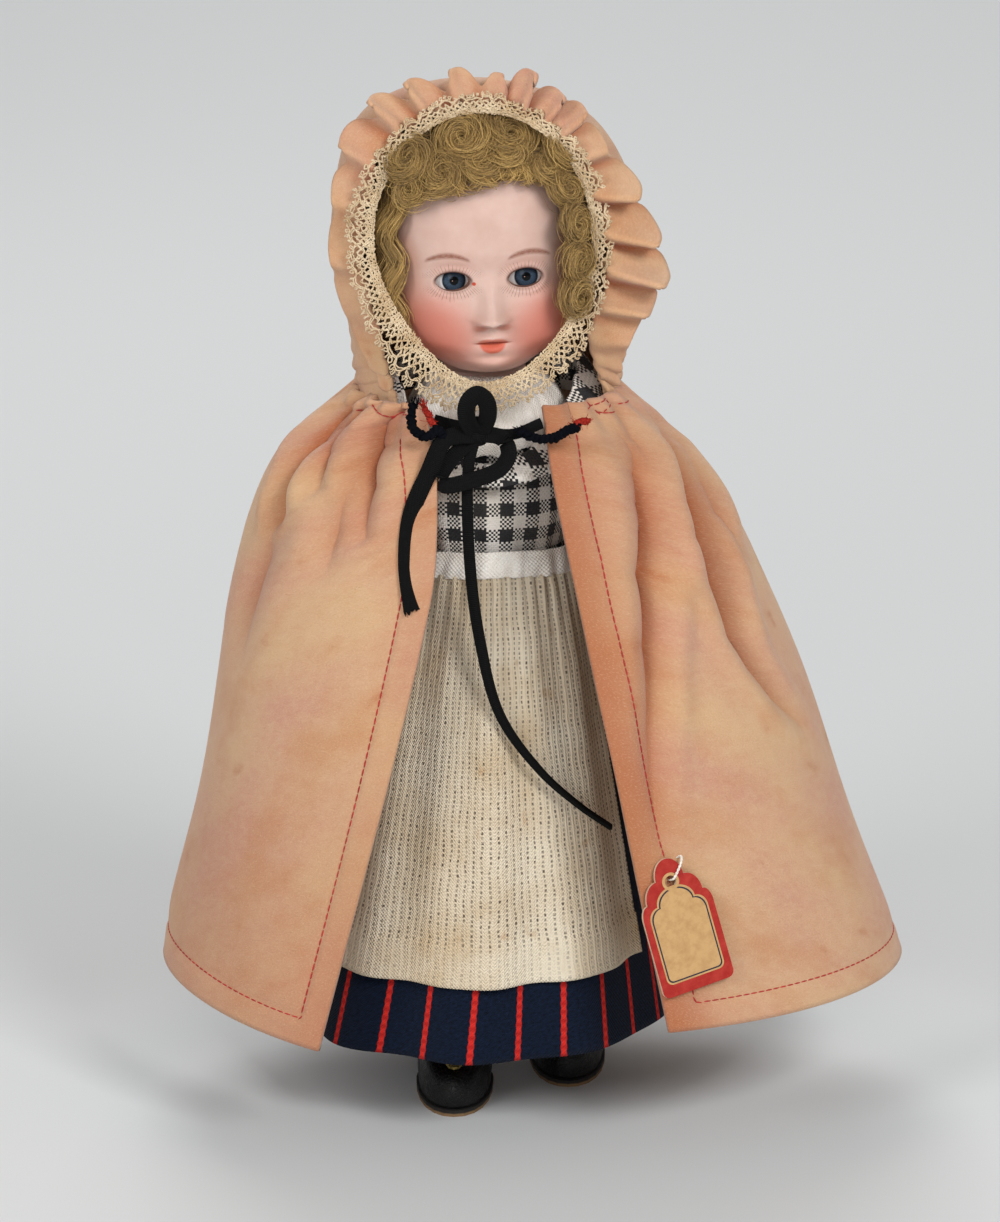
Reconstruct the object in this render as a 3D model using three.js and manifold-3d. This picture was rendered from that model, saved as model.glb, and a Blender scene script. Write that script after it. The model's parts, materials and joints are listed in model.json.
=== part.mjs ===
// A small bisque-headed doll in a hooded cape, apron and striped skirt.
//
// The doll is a five-piece composition body strung with elastic: a hollow torso, two arms and two legs.
// The bisque socket head has an open crown under a cardboard pate and a mohair wig, and glass sleeping
// eyes on a weighted rocker. Its clothes are a gingham blouse, a collar, a striped skirt, an apron,
// a cape with a gathered hood, a lace frill, a neck ribbon, shoes and a swing tag.
//
// Millimetres, +Z up, the doll faces -Y, its own right is -X, and the floor is z = 0.

import * as THREE from "three";
import { mergeVertices } from "three/addons/utils/BufferGeometryUtils.js";
import Module from "manifold-3d";

const wasm = await Module();
wasm.setup();

// Driving dimensions

const fit = 0.4; // running gap between hard pieces
const ease = 0.6; // gap between a garment and what it lies on
const stand = { x: -11.1, y: -0.2 }; // the doll's own axis, from the middle of its outline

// Body
const hipHeight = 96;
const torsoLength = 77.5; // hip axis to neck socket
const torsoWall = 3;
const chestHalfWidth = 18.8;
const hipHalfWidth = 22.5;
const torsoFront = 18;
const torsoBack = 15;
const neckRimRadius = 14.2;
const shoulderShare = 0.2065; // arm pivots below the neck socket, of the torso's length
const legDiscRadius = 12.8;
const legDiscWidth = 13;
const hipWebWidth = 15; // torso left between the two legs
const elasticRadius = 1;
const hookWire = 0.7; // radius
const stringHole = 3.6; // radius of the stringing holes
const armHookReach = 6.5; // where the limb hooks catch the elastic, from the middle of the body
const legHookReach = 3;
const neckHookDrop = 22; // where the neck hook catches it, below the socket centre

// Arms
const armRadius = 7.6;
const armLength = 76; // pivot to fingertips
const armSplay = 22; // degrees away from the body
const armHoleRadius = 9;
const sleeveCloth = 1.1;
const sleeveLength = 52;

// Legs and shoes
const ankle = { left: { x: 20, y: 17 }, right: { x: -8, y: -4 } };
const kneeRadius = 8.2;
const ankleRadius = 6.1;
const soleThickness = 1.6;
const soleWelt = 0.6;
const shoeWall = 1.1;
const shoeFront = 24; // ankle to toe
const shoeBack = 9.4; // ankle to heel
const shoeHalfWidth = 9.2;
const shoeHeight = 15.5;
const rosetteRadius = 2.2;

// Head
const chinRise = 10.5; // above the neck socket
const headHeight = 57;
const headWidth = 46;
const headFront = 25.6;
const headBack = 24;
const bisqueWall = 2.2;
const neckRadius = 9.4;
const socketRadius = 11.5;
const crownCut = 45; // above the chin
const pateThickness = 1.2;
const headTurn = 5; // degrees, to the doll's left
const headTilt = 2.5;

// Eyes
const eyeRise = 22; // above the chin
const eyeSpacing = 17;
const eyeRadius = 5.6;
const eyeGlass = 0.9;
const eyeDepth = 15.7; // ahead of the neck axis
const eyeOpening = { halfWidth: 4, halfHeight: 2.4 };
const rockerWire = 0.6;
const weightRadius = 3;
const weightLength = 7;

// Wig
const wigThickness = 4.2;
const faceHalfWidth = 18.6;
const hairline = 44; // above the chin
const wigBottom = 5; // above the chin
const curlRadius = 4.4;
const curlTube = 2.3;

// Clothes
const blouseCloth = 1;
const waistShare = 0.555; // above the hip axis, of the torso's length
const waistbandHeight = 5.2;
const skirtCloth = 1;
const skirtHem = 21; // above the floor
const skirtHemRadius = { side: 45.5, front: 47, back: 44 };
const skirtFolds = 9;
const apronCloth = 0.9;
const apronHem = 40;
const apronSpread = 62; // degrees each side of the front
const collarCloth = 1;
const collarDrop = 13;
const kerchiefCloth = 1;

const capeCloth = 1.5;
const capeFolds = 9;
const capeFoldDepth = 3;
const capeNeck = { side: 31, front: 26.5, back: 25 };
const capeElbowRise = 39; // where the cape leaves the arms, above the hip axis
const capeShoulderEase = { left: 13, right: 14, front: 19, back: 18 };
const capeElbow = { left: 64.5, right: 58, front: 46, back: 45 };
const capeHem = { left: 101, right: 78.7, front: 66, back: 61, height: 34 };
const capeHemDip = 5; // the front corners hang below the sides
const capeNeckOpening = 13; // half width
const capeShoulderOpening = { left: 15.6, right: 11.4 };
const capeElbowOpening = { left: 21, right: 13.2 };
const capeHemOpening = { left: 42.7, right: 39.5 };

const hoodCloth = 1.3;
const hoodEase = 4; // hood lining to wig
const hoodBrim = 17.5; // ahead of the neck axis
const frillWidth = 7;
const frillWave = 2.6;
const frillWaves = 15;
const laceWidth = 5.6;
const laceThickness = 0.8;

const ribbonWidth = 5;
const ribbonThickness = 0.7;
const tagWidth = 18.4;
const tagLength = 32;
const tagThickness = 0.9;
const tagHole = 1.5; // radius
const threadRadius = 0.35;

// Heights that follow from the driving dimensions

const neckZ = hipHeight + torsoLength;
const shoulderZ = neckZ - shoulderShare * torsoLength;
const waistZ = hipHeight + waistShare * torsoLength;
const torsoSide = chestHalfWidth + fit;
const armPivotX = torsoSide + armRadius * 0.72;
const legPivotX = hipWebWidth / 2 + fit + legDiscWidth / 2;
const blouseGap = ease + blouseCloth;

// Shared shape helpers

const radians = THREE.MathUtils.degToRad;
const lerp = THREE.MathUtils.lerp;
const smooth = THREE.MathUtils.smoothstep;
const bump = (x, centre, spread) => Math.exp(-(((x - centre) / spread) ** 2));

// A closed geometry as a solid that can be joined and cut, with its faces turned outwards.
function solid(geometry) {
  const bare = new THREE.BufferGeometry().setAttribute("position", geometry.getAttribute("position"));
  if (geometry.index) bare.setIndex(geometry.index);
  const merged = mergeVertices(bare, 1e-4);
  const triVerts = new Uint32Array(merged.index.array);
  const vertProperties = merged.attributes.position.array;
  const made = new wasm.Manifold(new wasm.Mesh({ numProp: 3, vertProperties, triVerts }));
  if (made.volume() > 0) return made;
  for (let i = 0; i < triVerts.length; i += 3) {
    [triVerts[i + 1], triVerts[i + 2]] = [triVerts[i + 2], triVerts[i + 1]];
  }
  return new wasm.Manifold(new wasm.Mesh({ numProp: 3, vertProperties, triVerts }));
}

// A solid back as a geometry.
function geometryOf(made) {
  const mesh = made.getMesh();
  return new THREE.BufferGeometry()
    .setAttribute("position", new THREE.BufferAttribute(mesh.vertProperties.slice(), 3))
    .setIndex(new THREE.BufferAttribute(mesh.triVerts.slice(), 1));
}

// Triangles between two neighbouring rows of points, given as first indices, `count` steps along.
function stitch(index, a, b, count, across) {
  for (let k = 0; k < count; k++) {
    const next = across ? (k + 1) % count : k + 1;
    index.push(a + k, b + k, b + next, a + k, b + next, a + next);
  }
}

function closedGeometry(points, index) {
  const positions = new Float32Array(points.flatMap((p) => [p.x, p.y, p.z]));
  return new THREE.BufferGeometry()
    .setAttribute("position", new THREE.BufferAttribute(positions, 3))
    .setIndex(index);
}

// Skins a stack of rings, each the same number of points, and closes both ends with a fan.
function skin(rings) {
  const around = rings[0].length;
  const points = rings.flat();
  const index = [];
  for (let r = 0; r + 1 < rings.length; r++) stitch(index, r * around, (r + 1) * around, around, true);
  for (const [ring, turn] of [[0, 1], [rings.length - 1, -1]]) {
    const centre = points.length;
    points.push(rings[ring].reduce((sum, p) => sum.add(p), new THREE.Vector3()).divideScalar(around));
    for (let k = 0; k < around; k++) {
      const pair = [ring * around + k, ring * around + ((k + 1) % around)];
      index.push(centre, ...(turn > 0 ? pair : pair.reverse()));
    }
  }
  return closedGeometry(points, index);
}

// A sheet of cloth with one thickness: point(u, v) is its middle, u across and v down.
// A round sheet joins its two sides into a tube.
function sheet(point, columns, rows, thickness, round = false) {
  const step = 1e-3;
  const across = round ? columns : columns + 1;
  const faces = [[], []];
  for (let r = 0; r <= rows; r++) {
    for (let c = 0; c < across; c++) {
      const u = c / columns;
      const v = r / rows;
      const u0 = round ? u - step : Math.max(0, u - step);
      const u1 = round ? u + step : Math.min(1, u + step);
      const along = point(u1, v).sub(point(u0, v));
      const down = point(u, Math.min(1, v + step)).sub(point(u, Math.max(0, v - step)));
      const normal = along.cross(down).normalize().multiplyScalar(thickness / 2);
      faces[0].push(point(u, v).add(normal));
      faces[1].push(point(u, v).sub(normal));
    }
  }
  const points = faces.flat();
  const back = faces[0].length;
  const index = [];
  const backIndex = [];
  for (let r = 0; r < rows; r++) {
    stitch(index, r * across, (r + 1) * across, columns, round);
    stitch(backIndex, back + r * across, back + (r + 1) * across, columns, round);
  }
  for (let i = 0; i < backIndex.length; i += 3) index.push(backIndex[i], backIndex[i + 2], backIndex[i + 1]);
  const rim = (line, flip) => {
    for (let k = 0; k + 1 < line.length; k++) {
      const [p, q] = flip ? [line[k + 1], line[k]] : [line[k], line[k + 1]];
      index.push(p, q, back + q, p, back + q, back + p);
    }
  };
  const row = (r) => Array.from({ length: across + (round ? 1 : 0) }, (_, c) => r * across + (c % across));
  const column = (c) => Array.from({ length: rows + 1 }, (_, r) => r * across + c);
  rim(row(0), false);
  rim(row(rows), true);
  if (!round) {
    rim(column(0), true);
    rim(column(columns), false);
  }
  return closedGeometry(points, index);
}

// A level ring round a centre, with its own reach to the side, the front and the back.
function ring(z, { x = 0, y = 0, side, front, back = front, square = 2, count = 24 }) {
  return Array.from({ length: count }, (_, k) => {
    const turn = (k / count) * 2 * Math.PI;
    return onRing(turn, z, { x, y, side, front, back, square });
  });
}

// The point of such a ring at an angle from the front, towards the doll's left.
function onRing(turn, z, { x = 0, y = 0, side, left = side, right = side, front, back = front, square = 2 }) {
  const s = Math.sin(turn);
  const c = Math.cos(turn);
  const swell = (Math.abs(s) ** square + Math.abs(c) ** square) ** (-1 / square);
  const across = s > 0 ? left : right;
  return new THREE.Vector3(x + across * s * swell, y - (c > 0 ? front : back) * c * swell, z);
}

// A smooth run of values through stations: each station is [place, value, value, ...].
function through(stations) {
  const rows = [...stations].sort((a, b) => a[0] - b[0]);
  return (place) => {
    const k = THREE.MathUtils.clamp(rows.findIndex((r) => r[0] >= place), 1, rows.length - 1);
    const found = rows[rows.length - 1][0] < place ? rows.length - 1 : k;
    const [p0, p1, p2, p3] = [-2, -1, 0, 1].map(
      (d) => rows[THREE.MathUtils.clamp(found + d, 0, rows.length - 1)],
    );
    const t = THREE.MathUtils.clamp((place - p1[0]) / (p2[0] - p1[0]), 0, 1);
    return p1.slice(1).map((value, i) => {
      const next = p2[i + 1];
      const slope = (a, b) => (b[0] === a[0] ? 0 : (b[i + 1] - a[i + 1]) / (b[0] - a[0]));
      const span = p2[0] - p1[0];
      const m1 = slope(p0, p2) * span;
      const m2 = slope(p1, p3) * span;
      const h = t * t * (3 - 2 * t);
      return value + (next - value) * h + t * (1 - t) * ((1 - t) * m1 - t * m2);
    });
  };
}

const moved = (geometry, x, y, z) => geometry.translate(x, y, z);
const rod = (radius, length, sides) => new THREE.CylinderGeometry(radius, radius, length, sides);
const barAlongX = (radius, from, to, y, z, sides = 20) =>
  moved(rod(radius, to - from, sides).rotateZ(Math.PI / 2), lerp(from, to, 0.5), y, z);
const barAlongZ = (radius, from, to, x, y, sides = 20) =>
  moved(rod(radius, to - from, sides).rotateX(Math.PI / 2), x, y, lerp(from, to, 0.5));
const block = (x0, x1, y0, y1, z0, z1) =>
  moved(
    new THREE.BoxGeometry(x1 - x0, y1 - y0, z1 - z0),
    (x0 + x1) / 2,
    (y0 + y1) / 2,
    (z0 + z1) / 2,
  );
const far = 200; // past everything, for cutting blocks

// A round wire along a smooth path through its bends.
function wire(bends, radius, steps = 14, sides = 3) {
  const section = new THREE.Shape().absarc(0, 0, radius, 0, 2 * Math.PI);
  const path = new THREE.CatmullRomCurve3(bends.map((b) => new THREE.Vector3(...b)), false, "centripetal");
  return new THREE.ExtrudeGeometry(section, { steps, curveSegments: sides, extrudePath: path });
}

// A closed round loop of elastic or thread.
function loop(bends, radius, steps, sides = 5) {
  const path = new THREE.CatmullRomCurve3(bends.map((b) => new THREE.Vector3(...b)), true, "centripetal");
  return new THREE.TubeGeometry(path, steps, radius, sides, true);
}

const doll = new THREE.Group();
doll.position.set(stand.x, stand.y, 0);

const finishes = {
  bisque: { color: 0xecc3b4, roughness: 0.45 },
  composition: { color: 0xd9a283, roughness: 0.6 },
  card: { color: 0xb7a27c, roughness: 0.9 },
  mohair: { color: 0xa98a4c, roughness: 0.75 },
  glass: { color: 0x4f6c94, roughness: 0.08 },
  plaster: { color: 0xe6e0d2, roughness: 0.9 },
  lead: { color: 0x6d6e70, roughness: 0.5, metalness: 0.9 },
  wire: { color: 0x85807a, roughness: 0.4, metalness: 0.9 },
  wood: { color: 0xb98d5a, roughness: 0.7 },
  elastic: { color: 0xe8e2d2, roughness: 0.85 },
  gingham: { color: 0x6f6d70, roughness: 0.9 },
  whiteCotton: { color: 0xe4ddd0, roughness: 0.9 },
  apronCotton: { color: 0xd0bd9c, roughness: 0.92 },
  navyWool: { color: 0x1a2136, roughness: 0.95 },
  felt: { color: 0xdba57a, roughness: 0.97 },
  lace: { color: 0xdcc7a3, roughness: 0.9 },
  ribbon: { color: 0x15161a, roughness: 0.6 },
  oilcloth: { color: 0x17161a, roughness: 0.5 },
  brass: { color: 0x7d6f4a, roughness: 0.5, metalness: 0.8 },
  tagCard: { color: 0xb8352c, roughness: 0.6 },
  thread: { color: 0xe9e2d4, roughness: 0.85 },
};

function add(group, name, finish, shape) {
  const geometry = shape.isBufferGeometry ? geometryOf(solid(shape)) : geometryOf(shape);
  geometry.computeVertexNormals();
  const mesh = new THREE.Mesh(geometry, new THREE.MeshStandardMaterial(finishes[finish]));
  mesh.name = name;
  group.add(mesh);
}

// Torso: a hollow pressed shell with a cup for the neck, holes for the strings and two hip cut-outs

const torsoStations = [
  [-0.155, 0.24, 0.33, 0.4],
  [-0.116, 0.54, 0.61, 0.67],
  [-0.04, 0.85, 0.89, 1],
  [0.077, 1, 1, 1.16],
  [0.245, 0.955, 1.03, 1.07],
  [0.5, 0.74, 0.92, 0.95],
];
const torsoRadii = through([
  ...torsoStations.map(([h, w, f, b]) => [h, w * hipHalfWidth, f * torsoFront, b * torsoBack]),
  [0.67, chestHalfWidth, torsoFront, torsoBack],
  [0.8, chestHalfWidth * 0.99, torsoFront * 0.92, torsoBack * 0.97],
  [0.89, chestHalfWidth * 0.88, torsoFront * 0.82, torsoBack * 0.93],
  [0.955, neckRimRadius * 1.03, neckRimRadius * 1.02, neckRimRadius],
  [1, neckRimRadius, neckRimRadius, neckRimRadius],
]);
const torsoLevels = [-0.155, -0.116, -0.04, 0.077, 0.245, 0.37, 0.5, 0.67, 0.8, 0.89, 0.955, 1];

// The torso's outline, grown outwards by `grow`, between two shares of its height.
function torsoForm(grow, low, high, count = 18) {
  const levels = [low, ...torsoLevels.filter((h) => h > low + 0.01 && h < high - 0.01), high];
  return skin(
    levels.map((h) => {
      const [side, front, back] = torsoRadii(h).map((r) => r + grow);
      return ring(hipHeight + h * torsoLength, { side, front, back, square: 2.3, count });
    }),
  );
}

// The room for the leg discs and everything below them, beyond the web between the legs.
function hipRoom(grow, inner) {
  const cut = legDiscRadius + fit + grow;
  const sides = [[inner, far], [-far, -inner]].map(([x0, x1]) => {
    const below = solid(block(x0, x1, -far, far, -far, hipHeight + grow));
    return solid(barAlongX(cut, x0, x1, 0, hipHeight, 18)).add(below);
  });
  return sides[0].add(sides[1]);
}

const hipWeb = hipWebWidth / 2;
const torsoCavity = solid(torsoForm(-torsoWall, torsoWall / torsoLength - 0.116, 0.93, 16))
  .subtract(hipRoom(torsoWall, hipWeb - torsoWall));
const neckCup = solid(moved(new THREE.SphereGeometry(socketRadius + fit, 16, 10), 0, 0, neckZ));
const torso = solid(torsoForm(0, -0.155, 1))
  .subtract(hipRoom(0, hipWeb))
  .subtract(torsoCavity)
  .subtract(neckCup)
  .subtract(solid(barAlongX(stringHole, -far, far, 0, hipHeight, 10)))
  .subtract(solid(barAlongX(stringHole, -far, far, 0, shoulderZ, 10)));
add(doll, "torso", "composition", torso);

// Stringing: one elastic between the arms, one between the legs and a long loop up to the neck hook

const strandGap = hookWire + elasticRadius + fit;
function limbElastic(z, reach) {
  const end = (side) => [
    [side * reach, -side * strandGap, z],
    [side * (reach + strandGap), 0, z],
    [side * reach, side * strandGap, z],
  ];
  return loop([...end(1), ...end(-1)], elasticRadius, 16);
}
add(doll, "arm_elastic", "elastic", limbElastic(shoulderZ, armHookReach));
add(doll, "leg_elastic", "elastic", limbElastic(hipHeight, legHookReach));

const neckHookZ = neckZ - neckHookDrop;
const headStrand = strandGap + 2 * elasticRadius + 2 * fit + 0.4;
const headElasticTop = neckHookZ + strandGap;
const headElasticBottom = hipHeight - 2 * elasticRadius - fit - 0.3;
const headElastic = loop(
  [
    [0, headStrand, headElasticTop - headStrand],
    [0, 0, headElasticTop],
    [0, -headStrand, headElasticTop - headStrand],
    [0, -headStrand, hipHeight],
    [0, -headStrand * 0.6, headElasticBottom],
    [0, headStrand * 0.6, headElasticBottom],
    [0, headStrand, hipHeight],
  ],
  elasticRadius,
  24,
);
add(doll, "head_elastic", "elastic", headElastic);

// Arms: one-piece composition with a mitten hand, flat where they meet the torso, and a wire hook

const armStations = [
  [-1, 0.1, 0.1, 0],
  [-0.86, 0.5, 0.5, 0],
  [-0.5, 0.87, 0.87, 0],
  [0, 1, 1, 0],
  [0.11, 0.98, 1, 0],
  [0.27, 0.88, 0.94, 0],
  [0.4, 0.81, 0.88, 0.6],
  [0.55, 0.75, 0.8, 1.4],
  [0.72, 0.62, 0.62, 2.4],
  [0.78, 0.58, 0.62, 2.8],
  [0.85, 0.44, 0.72, 3.2],
  [0.93, 0.38, 0.62, 3.8],
  [0.985, 0.24, 0.36, 4.3],
  [1, 0.08, 0.12, 4.4],
];
const armRing = through(armStations);

// The arm, grown by `grow`, from above its shoulder down to a share of its length.
function armForm(side, grow, last, count = 10) {
  const levels = [...armStations.map((s) => s[0]).filter((h) => h < last - 0.02), last];
  return skin(
    levels.map((h) => {
      const [across, deep, ahead] = armRing(h);
      const drop = h < 0 ? h * armRadius : h * armLength;
      const x = side * (armPivotX + Math.max(0, drop) * Math.tan(radians(armSplay)));
      const reach = (share) => share * armRadius + (h < -0.9 ? 0 : grow);
      const z = shoulderZ - drop + (h < -0.9 ? grow : 0);
      return ring(z, { x, y: -ahead, side: reach(across), front: reach(deep), count });
    }),
  );
}

// What lies inwards of a plane beside the torso.
const inwards = (side, x) =>
  solid(side > 0 ? block(-far, x, -far, far, -far, far * 2) : block(-x, far, -far, far, -far, far * 2));

function thumb(side) {
  const drop = armLength * 0.86;
  const x = side * (armPivotX + drop * Math.tan(radians(armSplay)) - armRadius * 0.2);
  const shape = new THREE.CapsuleGeometry(armRadius * 0.2, armRadius * 0.8, 3, 8).rotateX(radians(62));
  return solid(moved(shape, x, -armRadius * 0.95, shoulderZ - drop));
}

// A hook that comes in over the end of the elastic and turns back under it.
function limbHook(side, from, z, reach) {
  return wire(
    [
      [side * from, 0, z + strandGap],
      [side * (reach + 1), 0, z + strandGap],
      [side * (reach - 0.4), 0, z],
      [side * (reach + 1), 0, z - strandGap],
      [side * (reach + 2.4), 0, z - strandGap],
    ],
    hookWire,
    8,
  );
}

for (const [name, side] of [["left", 1], ["right", -1]]) {
  const arm = solid(armForm(side, 0, 1)).add(thumb(side)).subtract(inwards(side, torsoSide));
  add(doll, `${name}_arm`, "composition", arm);
  add(doll, `${name}_arm_hook`, "wire", limbHook(side, torsoSide - 0.3, shoulderZ, armHookReach));
  const cuff = sleeveLength / armLength;
  const seam = chestHalfWidth + blouseGap + fit;
  const sleeve = solid(armForm(side, ease + sleeveCloth, cuff))
    .subtract(solid(armForm(side, ease, cuff + 0.05)))
    .subtract(inwards(side, seam));
  add(doll, `${name}_sleeve`, "gingham", sleeve);
}

// Legs: one-piece composition with a disc top beside the hip and a plain foot that fills the shoe

const shoeStations = [
  [0, 0.985, 0.98, 0.97],
  [0.25, 1, 1, 1],
  [0.48, 0.92, 0.99, 0.98],
  [0.64, 0.71, 0.96, 0.935],
  [0.8, 0.47, 0.94, 0.9],
  [1, 0.37, 0.91, 0.87],
];
const shoeRing = through(shoeStations);

// A ring of the shoe at a share of its height, taken in by `inset`.
function shoeLevel(at, share, inset, z, count = 14) {
  const [toe, heel, wide] = shoeRing(share);
  return ring(z, {
    ...at,
    side: wide * shoeHalfWidth - inset,
    front: toe * shoeFront - inset,
    back: heel * shoeBack - inset,
    square: 2.2,
    count,
  });
}

const legStations = [
  [-0.98, 0.6, 0.25],
  [-0.8, 0.9, 0.62],
  [-0.45, 1, 0.9],
  [0, 1, 1],
  [0.17, 1, 0.93],
];
const shoeBase = soleThickness + fit;
const shoeTop = shoeBase + shoeHeight;
const footInset = shoeWall + fit;

// The leg from its disc top down to the ankle, then the foot inside the shoe.
function legForm(side, at) {
  const reach = hipHeight - shoeTop;
  const straight = legDiscRadius + fit; // the lean starts below the torso
  const path = (drop) => ({
    x: lerp(side * legPivotX, at.x, THREE.MathUtils.clamp((drop - straight) / (reach - straight), 0, 1)),
    y: lerp(0, at.y, THREE.MathUtils.clamp(drop / reach, 0, 1)),
  });
  const half = legDiscWidth / 2;
  const rings = legStations.map(([h, across, deep]) => {
    const drop = h < 0 ? h * legDiscRadius : h * reach;
    return ring(hipHeight - drop, {
      ...path(drop),
      side: across * half,
      front: deep * legDiscRadius,
      square: 2.4,
      count: 14,
    });
  });
  for (const [h, r] of [[0.3, 1.16], [0.52, 1], [0.68, 1.06], [0.84, 0.88]]) {
    const thick = r * kneeRadius;
    rings.push(ring(hipHeight - h * reach, { ...path(h * reach), side: thick, front: thick, count: 14 }));
  }
  rings.push(ring(shoeTop + 1, { ...at, side: ankleRadius, front: ankleRadius, count: 14 }));
  for (const share of [0.92, 0.8, 0.64, 0.48, 0.25, 0]) {
    const z = shoeBase + shoeWall + fit + share * (shoeHeight - shoeWall - fit);
    rings.push(shoeLevel(at, share, footInset, z));
  }
  return skin(rings);
}

// Shoes: a sewn oilcloth upper, a card sole with a welt and a round metal rosette on the vamp

function shoeUpper(at) {
  const levels = shoeStations.map((s) => s[0]);
  const outer = skin(levels.map((h) => shoeLevel(at, h, 0, shoeBase + h * shoeHeight)));
  const inside = levels.map((h) => {
    const z = shoeBase + shoeWall + h * (shoeHeight - shoeWall + 1);
    return shoeLevel(at, h, shoeWall, z);
  });
  return solid(outer).subtract(solid(skin(inside)));
}

function shoeSole(at) {
  const [toe, heel, wide] = shoeRing(0);
  const outline = ring(0, {
    ...at,
    side: wide * shoeHalfWidth + soleWelt,
    front: toe * shoeFront + soleWelt,
    back: heel * shoeBack + soleWelt,
    square: 2.2,
    count: 24,
  });
  const shape = new THREE.Shape(outline.map((p) => new THREE.Vector2(p.x, p.y)));
  return new THREE.ExtrudeGeometry(shape, { depth: soleThickness, bevelEnabled: false });
}

function shoeRosette(at) {
  const share = 0.6;
  const [toe] = shoeRing(share);
  const slope = radians(38); // the vamp rises this steeply under the rosette
  const shape = new THREE.SphereGeometry(rosetteRadius, 10, 5).scale(1, 1, 0.45).rotateX(slope);
  const proud = rosetteRadius * 0.45 + fit;
  return moved(
    shape,
    at.x,
    at.y - toe * shoeFront - proud * Math.sin(slope) * 1.6,
    shoeBase + share * shoeHeight + proud * Math.cos(slope) * 1.1,
  );
}

for (const [name, side] of [["left", 1], ["right", -1]]) {
  const at = ankle[name];
  add(doll, `${name}_leg`, "composition", legForm(side, at));
  const legFace = legPivotX - legDiscWidth / 2 - 0.3;
  add(doll, `${name}_leg_hook`, "wire", limbHook(side, legFace, hipHeight, legHookReach));
  add(doll, `${name}_shoe_upper`, "oilcloth", shoeUpper(at));
  add(doll, `${name}_shoe_sole`, "card", shoeSole(at));
  add(doll, `${name}_shoe_rosette`, "brass", shoeRosette(at));
}

// Head: everything here is placed from the centre of the neck socket, then turned and tilted

const head = new THREE.Group();
head.position.set(0, 0, neckZ);
head.rotation.set(0, radians(-headTilt), radians(headTurn));
doll.add(head);

const headStations = [
  [1, 0.06, 0.06, 0.06],
  [0.985, 0.3, 0.27, 0.28],
  [0.93, 0.6, 0.58, 0.6],
  [0.82, 0.84, 0.83, 0.84],
  [0.68, 0.96, 0.965, 0.965],
  [0.54, 1, 1, 1],
  [0.4, 1, 0.985, 0.985],
  [0.26, 0.975, 0.985, 0.93],
  [0.14, 0.885, 0.985, 0.8],
  [0.06, 0.71, 0.975, 0.62],
  [0, 0.5, 0.86, 0.5],
];
const headRing = through(headStations);
const skullLevels = [1, 0.97, 0.9, 0.8, 0.7, 0.6, 0.52];
const faceLevels = [0.46, 0.41, 0.36, 0.31, 0.27, 0.24, 0.21, 0.175, 0.145, 0.12, 0.09, 0.055, 0.02, 0];
const headLevels = [...skullLevels, ...faceLevels];
const faceShare = 0.62; // of the points of each ring lie on the face half

// How far the face stands out from the plain egg, across and up from the chin.
function feature(x, up) {
  const nose = 5.2 * bump(x, 0, 2.5) * smooth(up, 13, 15) * (1 - smooth(up, 14.6, 24));
  const nostrils = 1.2 * (bump(x, 2.4, 1.4) + bump(x, -2.4, 1.4)) * bump(up, 14, 1.5);
  const upperLip = 1.1 * bump(x, 0, 4) * bump(up, 8.4, 1.2);
  const lowerLip = 1 * bump(x, 0, 3.2) * bump(up, 5.6, 1.2);
  const chin = 1.5 * bump(x, 0, 5) * bump(up, 1.8, 2.4);
  const cheeks = 1.4 * (bump(x, 13, 7) + bump(x, -13, 7)) * bump(up, 11, 7);
  const eyes = eyeSpacing / 2;
  const sockets = -1.7 * (bump(x, eyes, 5) + bump(x, -eyes, 5)) * bump(up, eyeRise, 3.6);
  const brows = 0.5 * (bump(x, eyes, 6) + bump(x, -eyes, 6)) * bump(up, eyeRise + 6, 2.4);
  return nose + nostrils + upperLip + lowerLip + chin + cheeks + sockets + brows;
}

// Angles round the head from the front, closer together on the face.
function faceTurns(count) {
  const face = Math.round(count * faceShare);
  const rest = count - face;
  const front = Array.from({ length: face }, (_, k) => ((k + 0.5) / face - 0.5) * Math.PI);
  const behind = Array.from({ length: rest }, (_, k) => Math.PI / 2 + ((k + 0.5) / rest) * Math.PI);
  return [...front, ...behind];
}

// The head with its neck and socket ball, taken in by `inset`; the face's features only on the outside.
function headForm(inset, levels, count, features) {
  const turns = faceTurns(count);
  const rings = levels.map((h) => {
    const [w, f, b] = headRing(h);
    const up = h * headHeight - (h > 0.9 ? inset : 0);
    const reach = (share, full) => Math.max(0.6, share * full - inset);
    const sizes = {
      side: reach(w, headWidth / 2),
      front: reach(f, headFront),
      back: reach(b, headBack),
      square: h > 0.1 && h < 0.9 ? 2.5 : 2,
    };
    return turns.map((turn) => {
      const p = onRing(turn, chinRise + up, sizes);
      if (features && Math.cos(turn) > 0) p.y -= feature(p.x, up) * Math.cos(turn) ** 0.5;
      return p;
    });
  });
  const neck = neckRadius - inset;
  const ball = socketRadius - inset;
  const level = (z, r) => turns.map((turn) => onRing(turn, z, { side: r, front: r }));
  rings.push(level(chinRise - 2, neck * 1.1 + inset * 0.1));
  const seat = Math.sqrt(ball ** 2 - neck ** 2);
  rings.push(level(seat + 0.6, neck));
  for (const a of [78, 100, 124, 148, 172]) {
    rings.push(level(ball * Math.cos(radians(a)), ball * Math.sin(radians(a))));
  }
  return skin(rings);
}

const coarseLevels = [1, 0.96, 0.86, 0.7, 0.5, 0.3, 0.14, 0.05, 0];
const eyeZ = chinRise + eyeRise;
const eyeY = -eyeDepth;
const cutZ = chinRise + crownCut;
const above = (z) => solid(block(-far, far, -far, far, z, far));
const below = (z) => solid(block(-far, far, -far, far, -far, z));
const eggOutside = solid(headForm(0, headLevels, 29, true));
const cavity = solid(headForm(bisqueWall, coarseLevels, 16, false));

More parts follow.
